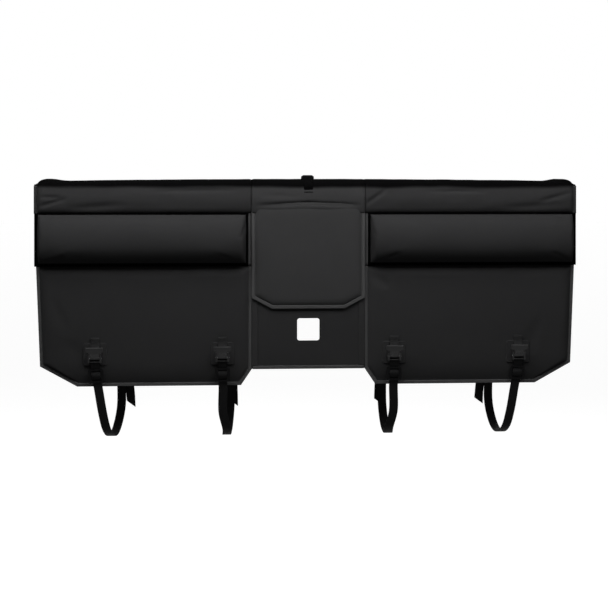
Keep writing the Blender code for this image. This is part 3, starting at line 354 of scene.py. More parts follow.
def even_line(points, step):
    """The same line with its points a near even step apart, ends kept."""
    lengths = np.concatenate([[0.0], np.cumsum(np.linalg.norm(np.diff(points, axis=0), axis=1))])
    count = max(2, int(round(lengths[-1] / step)) + 1)
    want = np.linspace(0.0, lengths[-1], count)
    return np.stack([np.interp(want, lengths, points[:, axis]) for axis in range(points.shape[1])], axis=1)


VINYL = cloth_finish("coated_fabric", VINYL_COLOUR)
SADDLE_VINYL = cloth_finish("saddle_fabric_top_shaded", VINYL_COLOUR, top_shade_colour=ROLL_PAINTED_SHADE_COLOUR)
CENTRE_VINYL = cloth_finish("centre_fabric_top_shaded", CENTRE_COLOUR, top_shade_colour=ROLL_PAINTED_SHADE_COLOUR)
FOOT_LAP = 0.0012
SADDLE_SHAPES = {
    "left": {"padding": 0.0120, "foot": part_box("left_saddle")[0].z - FOOT_LAP, "seed": 1,
             "creases": [((-0.461, -0.020), (-0.185, -0.016), 0.0045, -0.0034),
                         ((-0.781, -0.066), (-0.690, -0.040), 0.0055, -0.0044),
                         ((-0.778, -0.036), (-0.705, -0.038), 0.0050, -0.0036),
                         ((-0.700, -0.070), (-0.520, -0.058), 0.0090, -0.0030)]},
    "centre": {"padding": 0.0140, "foot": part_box("centre_saddle")[0].z, "seed": 2,
               "creases": [((-0.150, -0.030), (0.000, -0.036), 0.0070, -0.0016),
                           ((-0.155, -0.0605), (0.035, -0.0530), 0.0050, -0.0058),
                           ((-0.035, -0.0530), (0.155, -0.0605), 0.0050, -0.0058)]},
    "right": {"padding": 0.0120, "foot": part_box("right_saddle")[0].z - FOOT_LAP, "seed": 3,
              "creases": [((0.160, -0.062), (0.232, -0.012), 0.0060, -0.0050),
                          ((0.339, -0.0200), (0.528, -0.0200), 0.0045, -0.0036),
                          ((0.674, -0.050), (0.782, -0.022), 0.0060, -0.0050),
                          ((0.560, -0.068), (0.760, -0.058), 0.0090, -0.0030)]},
}
SADDLE_TOP = 0.0145
SADDLE_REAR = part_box("centre_saddle")[1].y - REAR_Y
FRONT_ROLL = 0.024
REAR_ROLL = 0.018
INSIDE_ROLL = 0.006
SEWN_THICKNESS = 0.0055
CROWN_REACH = 0.016
SEAM_REACH = 0.007
SEAM_DIP = 0.22
BOUND_EDGE = 0.009
END_ROUND = 0.013
END_DROP = 0.55
BAND_PUFF = 0.0055
BAND_WAVES = 0.0011
SADDLE_RIPPLES = 0.0006
RISE_START_Z = -0.03
RISE_BLEND = 0.04
TOP_MIDDLE_RISE = 0.0015
TOP_FALL = 0.0050
TOP_FALL_REACH = 0.70
TOP_HUMP = 0.0055
TOP_HUMP_X = 0.748
TOP_HUMP_WIDTH = 0.026


def saddle_section(padding, foot):
    """The saddle's outer line across the tailgate, from its front foot over the top to its rear foot."""
    front = FRONT_Y - padding
    rear = REAR_Y + SADDLE_REAR
    line = np.vstack([
        [[front, foot]],
        arc_points((front + FRONT_ROLL, SADDLE_TOP - FRONT_ROLL), FRONT_ROLL, 180, 90, 16),
        arc_points((rear - REAR_ROLL, SADDLE_TOP - REAR_ROLL), REAR_ROLL, 90, 0, 14),
        [[rear, foot]],
    ])
    return even_line(line, SADDLE_STEP)


def line_normals(line):
    way = np.gradient(line, axis=0)
    way /= np.linalg.norm(way, axis=1)[:, None]
    return np.stack([-way[:, 1], way[:, 0]], axis=1)


def saddle_lining(outer):
    """The lining point under each outer point: straight through the wall, or round the inside corner."""
    inner = []
    for y, z in outer:
        side = -1 if y < 0 else 1
        if z <= -INSIDE_ROLL:
            inner.append((FRONT_Y if y < 0 else REAR_Y, z))
        elif FRONT_Y + INSIDE_ROLL < y < REAR_Y - INSIDE_ROLL:
            inner.append((y, 0.0))
        else:
            centre_y = side * (REAR_Y - INSIDE_ROLL)
            way = np.maximum([(y - centre_y) * side, z + INSIDE_ROLL], 0.0)
            way = way / max(np.linalg.norm(way), 1e-9)
            inner.append((centre_y + side * INSIDE_ROLL * way[0], INSIDE_ROLL * way[1] - INSIDE_ROLL))
    return np.array(inner)


def top_rise(x):
    """How far the top stands above its mean height: high in the middle, with a hump near each end."""
    hump = TOP_HUMP * math.exp(-((abs(x) - TOP_HUMP_X) / TOP_HUMP_WIDTH) ** 2)
    return TOP_MIDDLE_RISE - TOP_FALL * min(abs(x) / TOP_FALL_REACH, 1.0) ** 2 + hump


SADDLE_ENDS = {}
for label, shape in SADDLE_SHAPES.items():
    low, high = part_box(label + "_saddle")
    xs = np.linspace(low.x, high.x, int((high.x - low.x) / SADDLE_STEP) + 1)
    section = saddle_section(shape["padding"], shape["foot"])
    lining = saddle_lining(section)
    normals = line_normals(section)
    thickness = np.einsum("ij,ij->i", section - lining, normals)
    travel = np.concatenate([[0.0], np.cumsum(np.linalg.norm(np.diff(section, axis=0), axis=1))])
    outer = np.zeros((len(section), len(xs), 3))
    inner = np.zeros_like(outer)
    for j, x in enumerate(xs):
        outside = min(abs(x - low.x), abs(high.x - x))
        at_end = label != "centre" and abs(x) > abs(high.x + low.x) / 2
        if at_end:
            across = quarter_arc((outside - BOUND_EDGE) / CROWN_REACH)
        else:
            across = 1.0 - SEAM_DIP * (1.0 - min(outside / SEAM_REACH, 1.0)) ** 2
        for i, ((y, z), normal) in enumerate(zip(section, normals)):
            foot_gap = min(travel[i] if label != "centre" else CROWN_REACH, travel[-1] - travel[i])
            crown = across * quarter_arc(foot_gap / CROWN_REACH)
            slack = SEWN_THICKNESS + (thickness[i] - SEWN_THICKNESS) * crown
            swell = 0.0
            if y < 0 and z < ROLL_START_Z:
                swell = BAND_PUFF * math.sin(math.pi * (z - shape["foot"]) / (ROLL_START_Z - shape["foot"]))
                swell += sum(crease(x, z, *fold) for fold in shape["creases"])
                swell += BAND_WAVES * smooth_noise(x, 0.0, 4.0 * z, 7.0, shape["seed"])
            swell += SADDLE_RIPPLES * smooth_noise(x, y, 2.0 * z, 21.0, shape["seed"] + 10)
            out = slack - thickness[i] + swell * crown
            lift = top_rise(x) * clamped((z - RISE_START_Z) / RISE_BLEND)
            if at_end and z > 0:
                lift -= END_ROUND * END_DROP * (1.0 - quarter_arc(outside / END_ROUND))
            outer[i, j] = (x, y + normal[0] * out, z + normal[1] * out + lift)
            inner[i, j] = (x, *lining[i])
    if label != "centre":
        end = -1 if label == "right" else 0
        SADDLE_ENDS[label] = (inner[:, end], outer[:, end])
    else:
        CENTRE_LINE = outer[:, len(xs) // 2, 1:]
    finish = CENTRE_VINYL if label == "centre" else SADDLE_VINYL
    saddle = skin_body(label + "_saddle_cover", outer, inner, finish)
    finished(saddle, "coated_fabric", label + "_saddle")

# Bolsters: a thick foam roll under the same coated cloth on each side, sewn to the pad all round and
# closed at both ends. The cloth is pulled tight over it, with small puckers along its seams. Its sewn
# rim is a flat flange coloured near black: painted shade in the groove round the roll and under it.
# Towards the centre the rim ends in a strip coloured as binding: a painted highlight on the folded cloth.
BOLSTER_SEED = {"left": 4, "right": 5}
BOLSTER_DEPTH = 0.053
BOLSTER_FLANGE = 0.0060
BOLSTER_INNER_MARGIN = 0.0165
BOLSTER_OUTER_MARGIN = 0.0110
BOLSTER_TOP_SEAM = 0.0045
BOLSTER_FOOT_SEAM = 0.0085
# Width of the strip at the bolster's inner end that takes the binding colour: a painted highlight.
BOLSTER_HIGHLIGHT_RIM = 0.0085
RIM_TURN = 0.001
# Near black: painted shade on the bolster's sewn flange, in the groove round the roll and under it.
FLANGE_PAINTED_SHADE_COLOUR = (0.0016, 0.0016, 0.0017, 1.0)
BINDING_COLOUR = (0.056, 0.056, 0.0565, 1.0)
BINDING_CLOTH = {"roughness": 0.62, "threads": 760.0, "coating": 0.0, "relief": 0.00022, "change": 0.2}
BOLSTER_END = 0.014
BOLSTER_END_ROUNDNESS = 0.42
BOLSTER_TAPER = 0.04
BOLSTER_ROUNDNESS = 0.80
BOLSTER_SAG = 0.007
BOLSTER_WAVES = 0.0022
BOLSTER_ROWS = 44
BOLSTER_STEP = 0.006
PUCKER_DEPTH = 0.0016
PUCKER_PITCH = 190.0
PUCKER_HEIGHT = 0.35
PUCKER_SPREAD = 0.30
BOLSTER_PRESSURE = 4.0
BOLSTER_SWELL = 0.0040
FILLING_FRAMES = 20

def fill_with_foam(body, sewn, pressure, most):
    """Swells a cover as its foam does. Its sewn points stay, and no other moves further than the most."""
    body.vertex_groups.new(name="sewn").add(sewn, 1.0, "REPLACE")
    filling = body.modifiers.new("filling", "CLOTH")
    filling.settings.quality = 6
    filling.settings.vertex_group_mass = "sewn"
    filling.settings.use_pressure = True
    filling.settings.uniform_pressure_force = pressure
    filling.settings.tension_stiffness = 12.0
    filling.settings.compression_stiffness = 6.0
    filling.settings.effector_weights.gravity = 0.0
    filling.point_cache.frame_end = FILLING_FRAMES
    for step in range(1, FILLING_FRAMES + 1):
        scene.frame_set(step)
    filled = body.evaluated_get(bpy.context.evaluated_depsgraph_get()).data
    points = np.zeros(3 * len(body.data.vertices))
    swollen = np.zeros_like(points)
    body.data.vertices.foreach_get("co", points)
    filled.vertices.foreach_get("co", swollen)
    body.modifiers.clear()
    body.vertex_groups.clear()
    move = (swollen - points).reshape(-1, 3)
    reach = np.linalg.norm(move, axis=1)[:, None]
    move *= most * np.tanh(reach / most) / np.maximum(reach, 1e-9)
    body.data.vertices.foreach_set("co", points + move.ravel())
    body.data.update()
    scene.frame_set(1)


def eased_steps(length, rounding, step):
    """Places along a length, close together at both ends where the form turns down, even between."""
    turns = np.radians(np.linspace(0.0, 90.0, 11))
    start = rounding * (1.0 - np.cos(turns))
    count = max(2, int((length - 2 * rounding) / step))
    middle = np.linspace(rounding, length - rounding, count + 1)[1:-1]
    return np.concatenate([start, middle, length - start[::-1]])


FLANGE = cloth_finish("bolster_flange_painted_shade", FLANGE_PAINTED_SHADE_COLOUR, 0.75)
BINDING = cloth_finish("binding", BINDING_COLOUR, **BINDING_CLOTH)
for label, side in SIDES.items():
    low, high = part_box(label + "_bolster")
    inner_x, outer_x = sorted((low.x, high.x), key=abs)
    span = abs(outer_x - inner_x)
    start = BOLSTER_INNER_MARGIN
    length = span - start - BOLSTER_OUTER_MARGIN
    along = start + eased_steps(length, BOLSTER_END, BOLSTER_STEP)
    lifts = np.clip(np.minimum(along - start, start + length - along) / BOLSTER_END, 0.0, 1.0)
    ends = (1.0 - (1.0 - lifts) ** 2) ** BOLSTER_END_ROUNDNESS
    xs = np.concatenate([[0.0, BOLSTER_HIGHLIGHT_RIM, BOLSTER_HIGHLIGHT_RIM + RIM_TURN], along, [span]])
    ends = np.concatenate([[0.0, 0.0, 0.0], ends, [0.0]])
    middle_z = (low.z + BOLSTER_FOOT_SEAM + high.z - BOLSTER_TOP_SEAM) / 2
    half = (high.z - BOLSTER_TOP_SEAM - low.z - BOLSTER_FOOT_SEAM) / 2
    turns = np.linspace(-math.pi / 2, math.pi / 2, BOLSTER_ROWS)
    zs = np.concatenate([[low.z], middle_z + half * np.sin(turns), [high.z]])
    rises = np.concatenate([[0.0], np.clip(np.cos(turns), 0.0, 1.0) ** BOLSTER_ROUNDNESS, [0.0]])
    seed = BOLSTER_SEED[label]
    outer = np.zeros((len(zs), len(xs), 3))
    inner = np.zeros_like(outer)
    columns = range(len(xs)) if side > 0 else range(len(xs) - 1, -1, -1)
    for j, k in enumerate(columns):
        x = min(max(inner_x + side * xs[k], low.x), high.x)
        taper = half * BOLSTER_TAPER * (1.0 - ends[k])
        for i, (z, rise) in enumerate(zip(zs, rises)):
            roll = rise * ends[k]
            depth = BOLSTER_FLANGE + (BOLSTER_DEPTH - BOLSTER_FLANGE) * roll
            near_seam = roll * math.exp(-((roll - PUCKER_HEIGHT) / PUCKER_SPREAD) ** 2)
            folds = math.sin(x * PUCKER_PITCH + 5.0 * smooth_noise(x, 0.0, z, 9.0, seed))
            depth += PUCKER_DEPTH * near_seam * folds * smooth_noise(x, 0.0, 0.3 * z, 14.0, seed + 6)
            depth += BOLSTER_WAVES * roll * smooth_noise(x, 0.0, 2.0 * z, 5.0, seed)
            sag = BOLSTER_SAG * roll ** 2
            outer[i, j] = (x, FRONT_Y - depth, z - sag - math.copysign(taper, z - middle_z) * roll)
            inner[i, j] = (x, FRONT_Y, z)
    bolster = skin_body(label + "_bolster_cover", outer, inner, VINYL)
    bolster.data.materials.append(FLANGE)
    bolster.data.materials.append(BINDING)
    sewn_y = FRONT_Y - BOLSTER_FLANGE - 0.0005
    base = [i for i, point in enumerate(bolster.data.vertices) if point.co.y > sewn_y]
    sewn = set(base)
    # Sewn faces take the near-black flange colour, painted shade; those of the strip at the inner end take
    # the binding colour, a painted highlight.
    for face in bolster.data.polygons:
        if sewn.issuperset(face.vertices):
            face.material_index = 2 if abs(face.center.x - inner_x) < BOLSTER_HIGHLIGHT_RIM else 1
    fill_with_foam(bolster, base, BOLSTER_PRESSURE, BOLSTER_SWELL)
    finished(bolster, "coated_fabric", label + "_bolster")

# Lower panels: two layers of coated cloth over a thin foam sheet, sewn flat along the edge, which the
# binding closes. The padding swells to its full depth within the edge and sags a little at the foot.
PANEL_STEP = 0.006
SEWN_EDGE = 0.010
PANEL_EDGE_DEPTH = 0.0036
PANEL_RISE = 0.034
SEAM_RISE = 0.014
CHAMFER_TOP_Z = -0.500
PANEL_DEPTH = 0.0135
FOOT_HALF_WIDTH = 0.770
OUTER_CUT = (0.105, 0.058)
INNER_CUT = (0.031, 0.046)
FOOT_RISE = 0.115
FOOT_DEPTH = 0.0095
FOOT_CURVE = 4.0
PANEL_SWELL = 0.0018
PANEL_WAVES = 0.0020
PANEL_RIPPLES = 0.0005
SWELL_FOOT_Z = -0.455
PANEL_SEED = {"left": 7, "right": 8}
PANEL_CREASES = {
    "left": [((-0.610, -0.250), (-0.640, -0.350), 0.014, -0.0028),
             ((-0.745, -0.290), (-0.690, -0.430), 0.018, -0.0032),
             ((-0.700, -0.440), (-0.600, -0.560), 0.022, -0.0026),
             ((-0.250, -0.238), (-0.190, -0.330), 0.014, -0.0022)],
    "right": [((0.170, -0.242), (0.240, -0.305), 0.015, -0.0052),
              ((0.205, -0.300), (0.215, -0.420), 0.022, -0.0024),
              ((0.700, -0.320), (0.640, -0.500), 0.024, -0.0030),
              ((0.700, -0.250), (0.610, -0.262), 0.012, -0.0020)],
}


def edge_distance(x, z, corners):
    """Distance from a point of the panel to the nearest side of its outline."""
    nearest = 1.0
    for start, end in zip(corners, corners[1:] + corners[:1]):
        line = (end[0] - start[0], end[1] - start[1])
        share = clamped(((x - start[0]) * line[0] + (z - start[1]) * line[1]) / (line[0] ** 2 + line[1] ** 2))
        nearest = min(nearest, math.hypot(x - start[0] - share * line[0], z - start[1] - share * line[1]))
    return nearest


def padded_depth(distance, edge, full, rise):
    """How thick padding is at a distance from its outline: flat along the seam, then a quarter arc."""
    return edge + (full - edge) * quarter_arc((distance - SEWN_EDGE) / rise)


def outline_sides(corners, z):
    """The left and right side of a convex outline at a height."""
    hits = []
    for start, end in zip(corners, corners[1:] + corners[:1]):
        if abs(end[1] - start[1]) < 1e-9:
            continue
        share = (z - start[1]) / (end[1] - start[1])
        if -1e-6 <= share <= 1.0 + 1e-6:
            hits.append(start[0] + share * (end[0] - start[0]))
    return min(hits), max(hits)


def panel_grids(corners, step, depth_at, back_y, direction=-1):
    """Front and back grids of an upright panel. Its rows pass through every corner of the outline."""
    stops = sorted({round(z, 6) for _, z in corners})
    heights = [stops[0]]
    for below, above in zip(stops, stops[1:]):
        count = max(1, int(round((above - below) / step)))
        heights += list(np.linspace(below, above, count + 1)[1:])
    heights = np.clip(heights, min(z for _, z in corners), max(z for _, z in corners))
    xs = [x for x, _ in corners]
    columns = int((max(xs) - min(xs)) / step) + 1
    outer = np.zeros((len(heights), columns, 3))
    inner = np.zeros_like(outer)
    for i, z in enumerate(heights):
        left, right = outline_sides(corners, z)
        for j, x in enumerate(np.linspace(left, right, columns)):
            outer[i, j] = (x, back_y + direction * depth_at(x, z), z)
            inner[i, j] = (x, back_y, z)
    return outer, inner


def mirrored(corners, side):
    return corners if side > 0 else [(-x, z) for x, z in reversed(corners)]


PANEL_CORNERS = {}
for label, side in SIDES.items():
    low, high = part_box(label + "_lower_panel")
    near = min(abs(low.x), abs(high.x))
    far = max(abs(low.x), abs(high.x))
    corners = mirrored([
        (near, low.z + INNER_CUT[1]),
        (near + INNER_CUT[0], low.z),
        (FOOT_HALF_WIDTH - OUTER_CUT[0], low.z),
        (FOOT_HALF_WIDTH, low.z + OUTER_CUT[1]),
        (far, high.z + FOOT_LAP),
        (near, high.z + FOOT_LAP),
    ], side)
    PANEL_CORNERS[label] = corners
    seed = PANEL_SEED[label]
    upright = [(x, z - PANEL_RISE if z < CHAMFER_TOP_Z else z) for x, z in corners]

    def lower_panel_depth(x, z):
        depth = padded_depth(edge_distance(x, z, upright), PANEL_EDGE_DEPTH, PANEL_DEPTH, PANEL_RISE)
        full = (depth - PANEL_EDGE_DEPTH) / (PANEL_DEPTH - PANEL_EDGE_DEPTH)
        above_foot = clamped((z - low.z - SEWN_EDGE) / FOOT_RISE)
        depth -= FOOT_DEPTH * full * (1.0 - above_foot) ** FOOT_CURVE
        up_the_panel = clamped((z - SWELL_FOOT_Z) / (high.z - SWELL_FOOT_Z))
        depth += PANEL_SWELL * full * math.sin(math.pi * up_the_panel)
        depth += full * sum(crease(x, z, *fold) for fold in PANEL_CREASES[label])
        depth += PANEL_WAVES * full * smooth_noise(x, 0.0, z, 4.5, seed)
        depth += PANEL_RIPPLES * full * smooth_noise(x, 0.0, z, 18.0, seed + 5)
        at_seam = padded_depth(edge_distance(x, z, corners), PANEL_EDGE_DEPTH, PANEL_DEPTH, SEAM_RISE)
        return min(depth, at_seam) if z < high.z - PANEL_RISE else depth

    outer, inner = panel_grids(corners, PANEL_STEP, lower_panel_depth, FRONT_Y)
    panel = skin_body(label + "_panel_cover", outer, inner, VINYL)
    finished(panel, "coated_fabric", label + "_lower_panel")

# Centre panel: two layers of the same cloth over a thin foam, with the camera window cut through its
# lower half and the opening for the tailgate's handle cut behind the flap.
SHEET_STEP = 0.004
SHEET_DEPTH = 0.0058
SHEET_WAVES = 0.0007
SHEET_SLACK_REACH = 0.04
WINDOW_SIDE = 0.065
WINDOW_CORNER = 0.007
WINDOW_Z = -0.421
HANDLE_OPENING = (0.230, 0.095)
HANDLE_CORNER = 0.015
HANDLE_Z = -0.190
CUTTER_DEPTH = 0.08
CORNER_STEPS = 6


def rectangle(low, high, inset=0.0):
    """The four corners of an upright box's face, anticlockwise from the lower left."""
    left, right, foot, top = low.x + inset, high.x - inset, low.z + inset, high.z - inset
    return [(left, foot), (right, foot), (right, top), (left, top)]


def rounded_hole(name, width, height, corner, centre_z):
    """An upright cutter with rounded corners, for an opening through a sheet."""
    points = []
    for quarter, (right, up) in enumerate(((1, 1), (-1, 1), (-1, -1), (1, -1))):
        for step in range(CORNER_STEPS + 1):
            angle = math.pi / 2 * (quarter + step / CORNER_STEPS)
            points.append((right * (width / 2 - corner) + corner * math.cos(angle),
                           centre_z + up * (height / 2 - corner) + corner * math.sin(angle)))
    count = len(points)
    mesh = bpy.data.meshes.new(name)
    rings = [(x, y, z) for y in (-CUTTER_DEPTH, 0.0) for x, z in points]
    sides = [(i, i + count, (i + 1) % count + count, (i + 1) % count) for i in range(count)]
    mesh.from_pydata(rings, [], [tuple(range(count)), tuple(range(count, 2 * count))[::-1], *sides])
    return add_object(name, mesh)


def apply_modifiers(body):
    """Turns what a body's modifiers make of it into its own plain mesh."""
    body.data = bpy.data.meshes.new_from_object(body.evaluated_get(bpy.context.evaluated_depsgraph_get()))
    body.modifiers.clear()


def cut(body, *cutters):
    """Cuts the openings and takes the cutters away again."""
    for cutter in cutters:
        tool = body.modifiers.new(cutter.name, "BOOLEAN")
        tool.operation = "DIFFERENCE"
        tool.solver = "EXACT"
        tool.object = cutter
    apply_modifiers(body)
    for cutter in cutters:
        bpy.data.objects.remove(cutter)


centre_low, centre_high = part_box("centre_panel")
centre_corners = rectangle(centre_low, centre_high)


def centre_panel_depth(x, z):
    slack = min(edge_distance(x, z, centre_corners) / SHEET_SLACK_REACH, 1.0)
    return SHEET_DEPTH + slack * (SHEET_WAVES * smooth_noise(x, 0.0, z, 9.0, 21))


outer, inner = panel_grids(centre_corners, SHEET_STEP, centre_panel_depth, FRONT_Y)
centre_panel = skin_body("centre_panel_sheet", outer, inner, VINYL)
bpy.context.view_layer.update()
cut(centre_panel, rounded_hole("window_cutter", WINDOW_SIDE, WINDOW_SIDE, WINDOW_CORNER, WINDOW_Z),
    rounded_hole("handle_cutter", *HANDLE_OPENING, HANDLE_CORNER, HANDLE_Z))
finished(centre_panel, "coated_fabric", "centre_panel")

# Handle flap: a thin padded flap in a lighter, plainer weave, sewn on along its top edge and free below.
FLAP_COLOUR = (0.0325, 0.0325, 0.0330, 1.0)
FLAP_CUT = (0.058, 0.031)
FLAP_EDGE_DEPTH = 0.0040
FLAP_DEPTH = 0.0098
FLAP_RISE = 0.020
FLAP_TUCK = 0.0024
FLAP_TUCK_REACH = 0.020
FLAP_WAVES = 0.0010


def cut_foot(low, high, cut_x, cut_z):
    """A panel's outline with both lower corners cut off, anticlockwise from the foot of its left side."""
    return [(low.x, low.z + cut_z), (low.x + cut_x, low.z), (high.x - cut_x, low.z), (high.x, low.z + cut_z),
            (high.x, high.z), (low.x, high.z)]


flap_low, flap_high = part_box("handle_flap")
FLAP_CORNERS = cut_foot(flap_low, flap_high, *FLAP_CUT)
FLAP_FORM = [(x, z + 2 * FLAP_RISE if z == flap_high.z else z) for x, z in FLAP_CORNERS]


def flap_depth(x, z):
    depth = padded_depth(edge_distance(x, z, FLAP_FORM), FLAP_EDGE_DEPTH, FLAP_DEPTH, FLAP_RISE)
    full = (depth - FLAP_EDGE_DEPTH) / (FLAP_DEPTH - FLAP_EDGE_DEPTH)
    tuck = FLAP_TUCK * math.exp(-((flap_high.z - z) / FLAP_TUCK_REACH) ** 2)
    return depth + full * (FLAP_WAVES * smooth_noise(x, 0.0, z, 8.0, 31) - tuck)


FLAP_VINYL = cloth_finish("flap_fabric", FLAP_COLOUR, 0.60, 1000.0, 0.35, 0.00014)
outer, inner = panel_grids(FLAP_CORNERS, SHEET_STEP, flap_depth, flap_high.y)
flap = skin_body("handle_flap_cover", outer, inner, FLAP_VINYL)
finished(flap, "flap_fabric", "handle_flap")

# Inner panel: the panel on the bed side, of foam under a soft brushed lining that doesn't mark paint.
LINING_COLOUR = (0.018, 0.018, 0.0185, 1.0)
INNER_CUT_SIDE = 0.060
INNER_EDGE_DEPTH = 0.0050
INNER_DEPTH = 0.0080
INNER_WAVES = 0.0008
INNER_STEP = 0.010
INNER_CORNERS = cut_foot(*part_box("inner_panel"), INNER_CUT_SIDE, INNER_CUT_SIDE)


def inner_panel_depth(x, z):
    depth = padded_depth(edge_distance(x, z, INNER_CORNERS), INNER_EDGE_DEPTH, INNER_DEPTH, PANEL_RISE)
    full = (depth - INNER_EDGE_DEPTH) / (INNER_DEPTH - INNER_EDGE_DEPTH)
    return depth + INNER_WAVES * smooth_noise(x, 0.0, z, 6.0, 41) * full


LINING = cloth_finish("lining", LINING_COLOUR, 0.85, 700.0, 0.15, 0.00020, change=0.2, sheen=0.25)
outer, inner = panel_grids(INNER_CORNERS, INNER_STEP, inner_panel_depth, REAR_Y, 1)
inner_panel = skin_body("inner_panel_cover", outer, inner, LINING, flip=True)
finished(inner_panel, "lining", "inner_panel")

# Bindings: a folded tape, ribbed across, that closes every cut edge. It wraps the edge from face to face
# and is sewn through all layers with one row of thread.
DARK_BINDING_COLOUR = (0.026, 0.026, 0.0265, 1.0)
TAPE_REACH = 0.0088
TAPE_SHOULDER = 0.0012
TAPE_BULGE = 0.0015
TAPE_THICKNESS = 0.0008
TAPE_LIFT = 0.0012
TAPE_BACK = 0.0004
TAPE_STEP = 0.008
TAPE_TURNS = 7
TAPE_WAVER = 0.0004
STITCH_INSET = 0.0022
STITCH_LIFT = 0.0002
DARK_BINDING = cloth_finish("dark_binding", DARK_BINDING_COLOUR, **BINDING_CLOTH)
THREAD_ROWS = []


def tape_body(name, edge, inward, across, thickness, node, finish):
    """A tape folded round an edge.

    Edge holds points on the piece's back face, inward and across the directions into the piece and
    through it, and thickness how thick the piece is at each point.
    """
    edge, inward, across = (np.array(values, float) for values in (edge, inward, across))
    thickness = np.array(thickness, float)[:, None]
    outer_rows = []
    inner_rows = []
    turns = np.radians(np.linspace(-90.0, 90.0, TAPE_TURNS))
    middle = (thickness + TAPE_LIFT - TAPE_BACK) / 2
    half = (thickness + TAPE_LIFT + TAPE_BACK) / 2
    waver = np.array([TAPE_WAVER * smooth_noise(*(60.0 * point), 1.0, 51) for point in edge])[:, None]
    reaches = (TAPE_REACH, TAPE_REACH / 2, TAPE_SHOULDER)
    for rows, inset in ((outer_rows, 0.0), (inner_rows, TAPE_THICKNESS)):
        for reach in reaches:
            rows.append(edge + inward * (reach + waver) - across * (TAPE_BACK - inset))
        for turn in turns:
            bulge = (TAPE_BULGE - inset) * math.cos(turn)
            rows.append(edge - inward * bulge + across * (middle + (half - inset) * math.sin(turn)))
        for reach in reversed(reaches):
            rows.append(edge + inward * (reach + waver) + across * (thickness + TAPE_LIFT - inset))
    top = thickness + TAPE_LIFT + STITCH_LIFT
    THREAD_ROWS.append(edge + inward * (TAPE_REACH - STITCH_INSET) + across * top)
    outer = np.stack(outer_rows)
    inner = np.stack(inner_rows)
    cell = np.cross(outer[-1, 1] - outer[-1, 0], outer[-1, 0] - outer[-2, 0])
    tape = skin_body(name, outer, inner, finish, flip=float(cell @ across[0]) < 0.0)
    finished(tape, "binding", node)


def panel_edge(corners, face_y, direction, thickness):
    """Edge points and directions along an open run of a panel's outline, mitred at its corners."""
    points = [np.array(corner) for corner in corners]
    centre = sum(points) / len(points)
    edge = []
    inward = []
    before = None
    for start, end in zip(points, points[1:]):
        line = end - start
        normal = np.array([-line[1], line[0]]) / np.linalg.norm(line)
        if normal @ (centre - start) < 0:
            normal = -normal
        before = normal if before is None else before
        mitre = (before + normal) / (1.0 + before @ normal)
        steps = max(1, int(np.linalg.norm(line) / TAPE_STEP))
        for step in range(steps):
            edge.append(start + line * step / steps)
            inward.append(mitre if step == 0 else normal)
        before = normal
    edge.append(points[-1])
    inward.append(before)
    return ([(x, face_y, z) for x, z in edge], [(x, 0.0, z) for x, z in inward],
            [(0.0, direction, 0.0)] * len(edge), [thickness] * len(edge))


def open_run(corners):
    """A cut-off panel's outline from the top of its left side round its foot to the top of its right side."""
    return [corners[5], *corners[:5]]


for label, side in SIDES.items():
    lining_line, skin_line = SADDLE_ENDS[label]
    wall = skin_line - lining_line
    gauge = np.linalg.norm(wall, axis=1)
    tape_body(label + "_saddle_tape", lining_line, [(-side, 0.0, 0.0)] * len(wall), wall / gauge[:, None],
              gauge, label + "_saddle_binding", DARK_BINDING)
    corners = PANEL_CORNERS[label]
    run = open_run(corners) if side > 0 else [*corners[1:], corners[0]]
    tape_body(label + "_panel_tape", *panel_edge(run, FRONT_Y, -1, PANEL_EDGE_DEPTH),
              label + "_panel_binding", BINDING)

tape_body("flap_tape", *panel_edge(open_run(FLAP_CORNERS), flap_high.y, -1, FLAP_EDGE_DEPTH), "flap_binding",
          BINDING)
tape_body("inner_tape", *panel_edge(open_run(INNER_CORNERS), REAR_Y, 1, INNER_EDGE_DEPTH), "inner_binding",
          BINDING)
hem_low, hem_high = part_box("centre_hem")
hem_run = [(hem_low.x, centre_low.z), (hem_high.x, centre_low.z)]
hem_edge, _, hem_across, hem_gauge = panel_edge(hem_run, FRONT_Y, -1, SHEET_DEPTH)
tape_body("centre_hem_tape", hem_edge, [(0.0, 0.0, 1.0)] * len(hem_edge), hem_across, hem_gauge, "centre_hem",
          BINDING)

# Seam tapes: flat tape over the seam on each side of the centre panel, sewn down along both its edges.
SEAM_TAPE_DEPTH = 0.0011
SEAM_TAPE_ROUND = 0.0025
SEAM_TAPE_EDGE = 0.35
SEAM_TAPE_STEP = 0.0024
SEAM_THREAD_MARGIN = 0.001


def seam_tape_depth(x, z):
    inside = min(x - low.x, high.x - x) / SEAM_TAPE_ROUND
    return SEAM_TAPE_DEPTH * (SEAM_TAPE_EDGE + (1.0 - SEAM_TAPE_EDGE) * quarter_arc(inside))


for label in SIDES:
    low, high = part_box(label + "_seam_tape")
    outer, inner = panel_grids(rectangle(low, high), SEAM_TAPE_STEP, seam_tape_depth, high.y)
    tape = skin_body(label + "_seam_tape_cover", outer, inner, DARK_BINDING)
    finished(tape, "binding", label + "_seam_tape")
    thread_y = high.y - SEAM_TAPE_DEPTH - STITCH_LIFT
    ends = (low.z + SEAM_THREAD_MARGIN, high.z - SEAM_THREAD_MARGIN)
    for x in (low.x + STITCH_INSET, high.x - STITCH_INSET):
        THREAD_ROWS.append(np.array([(x, thread_y, z) for z in ends]))

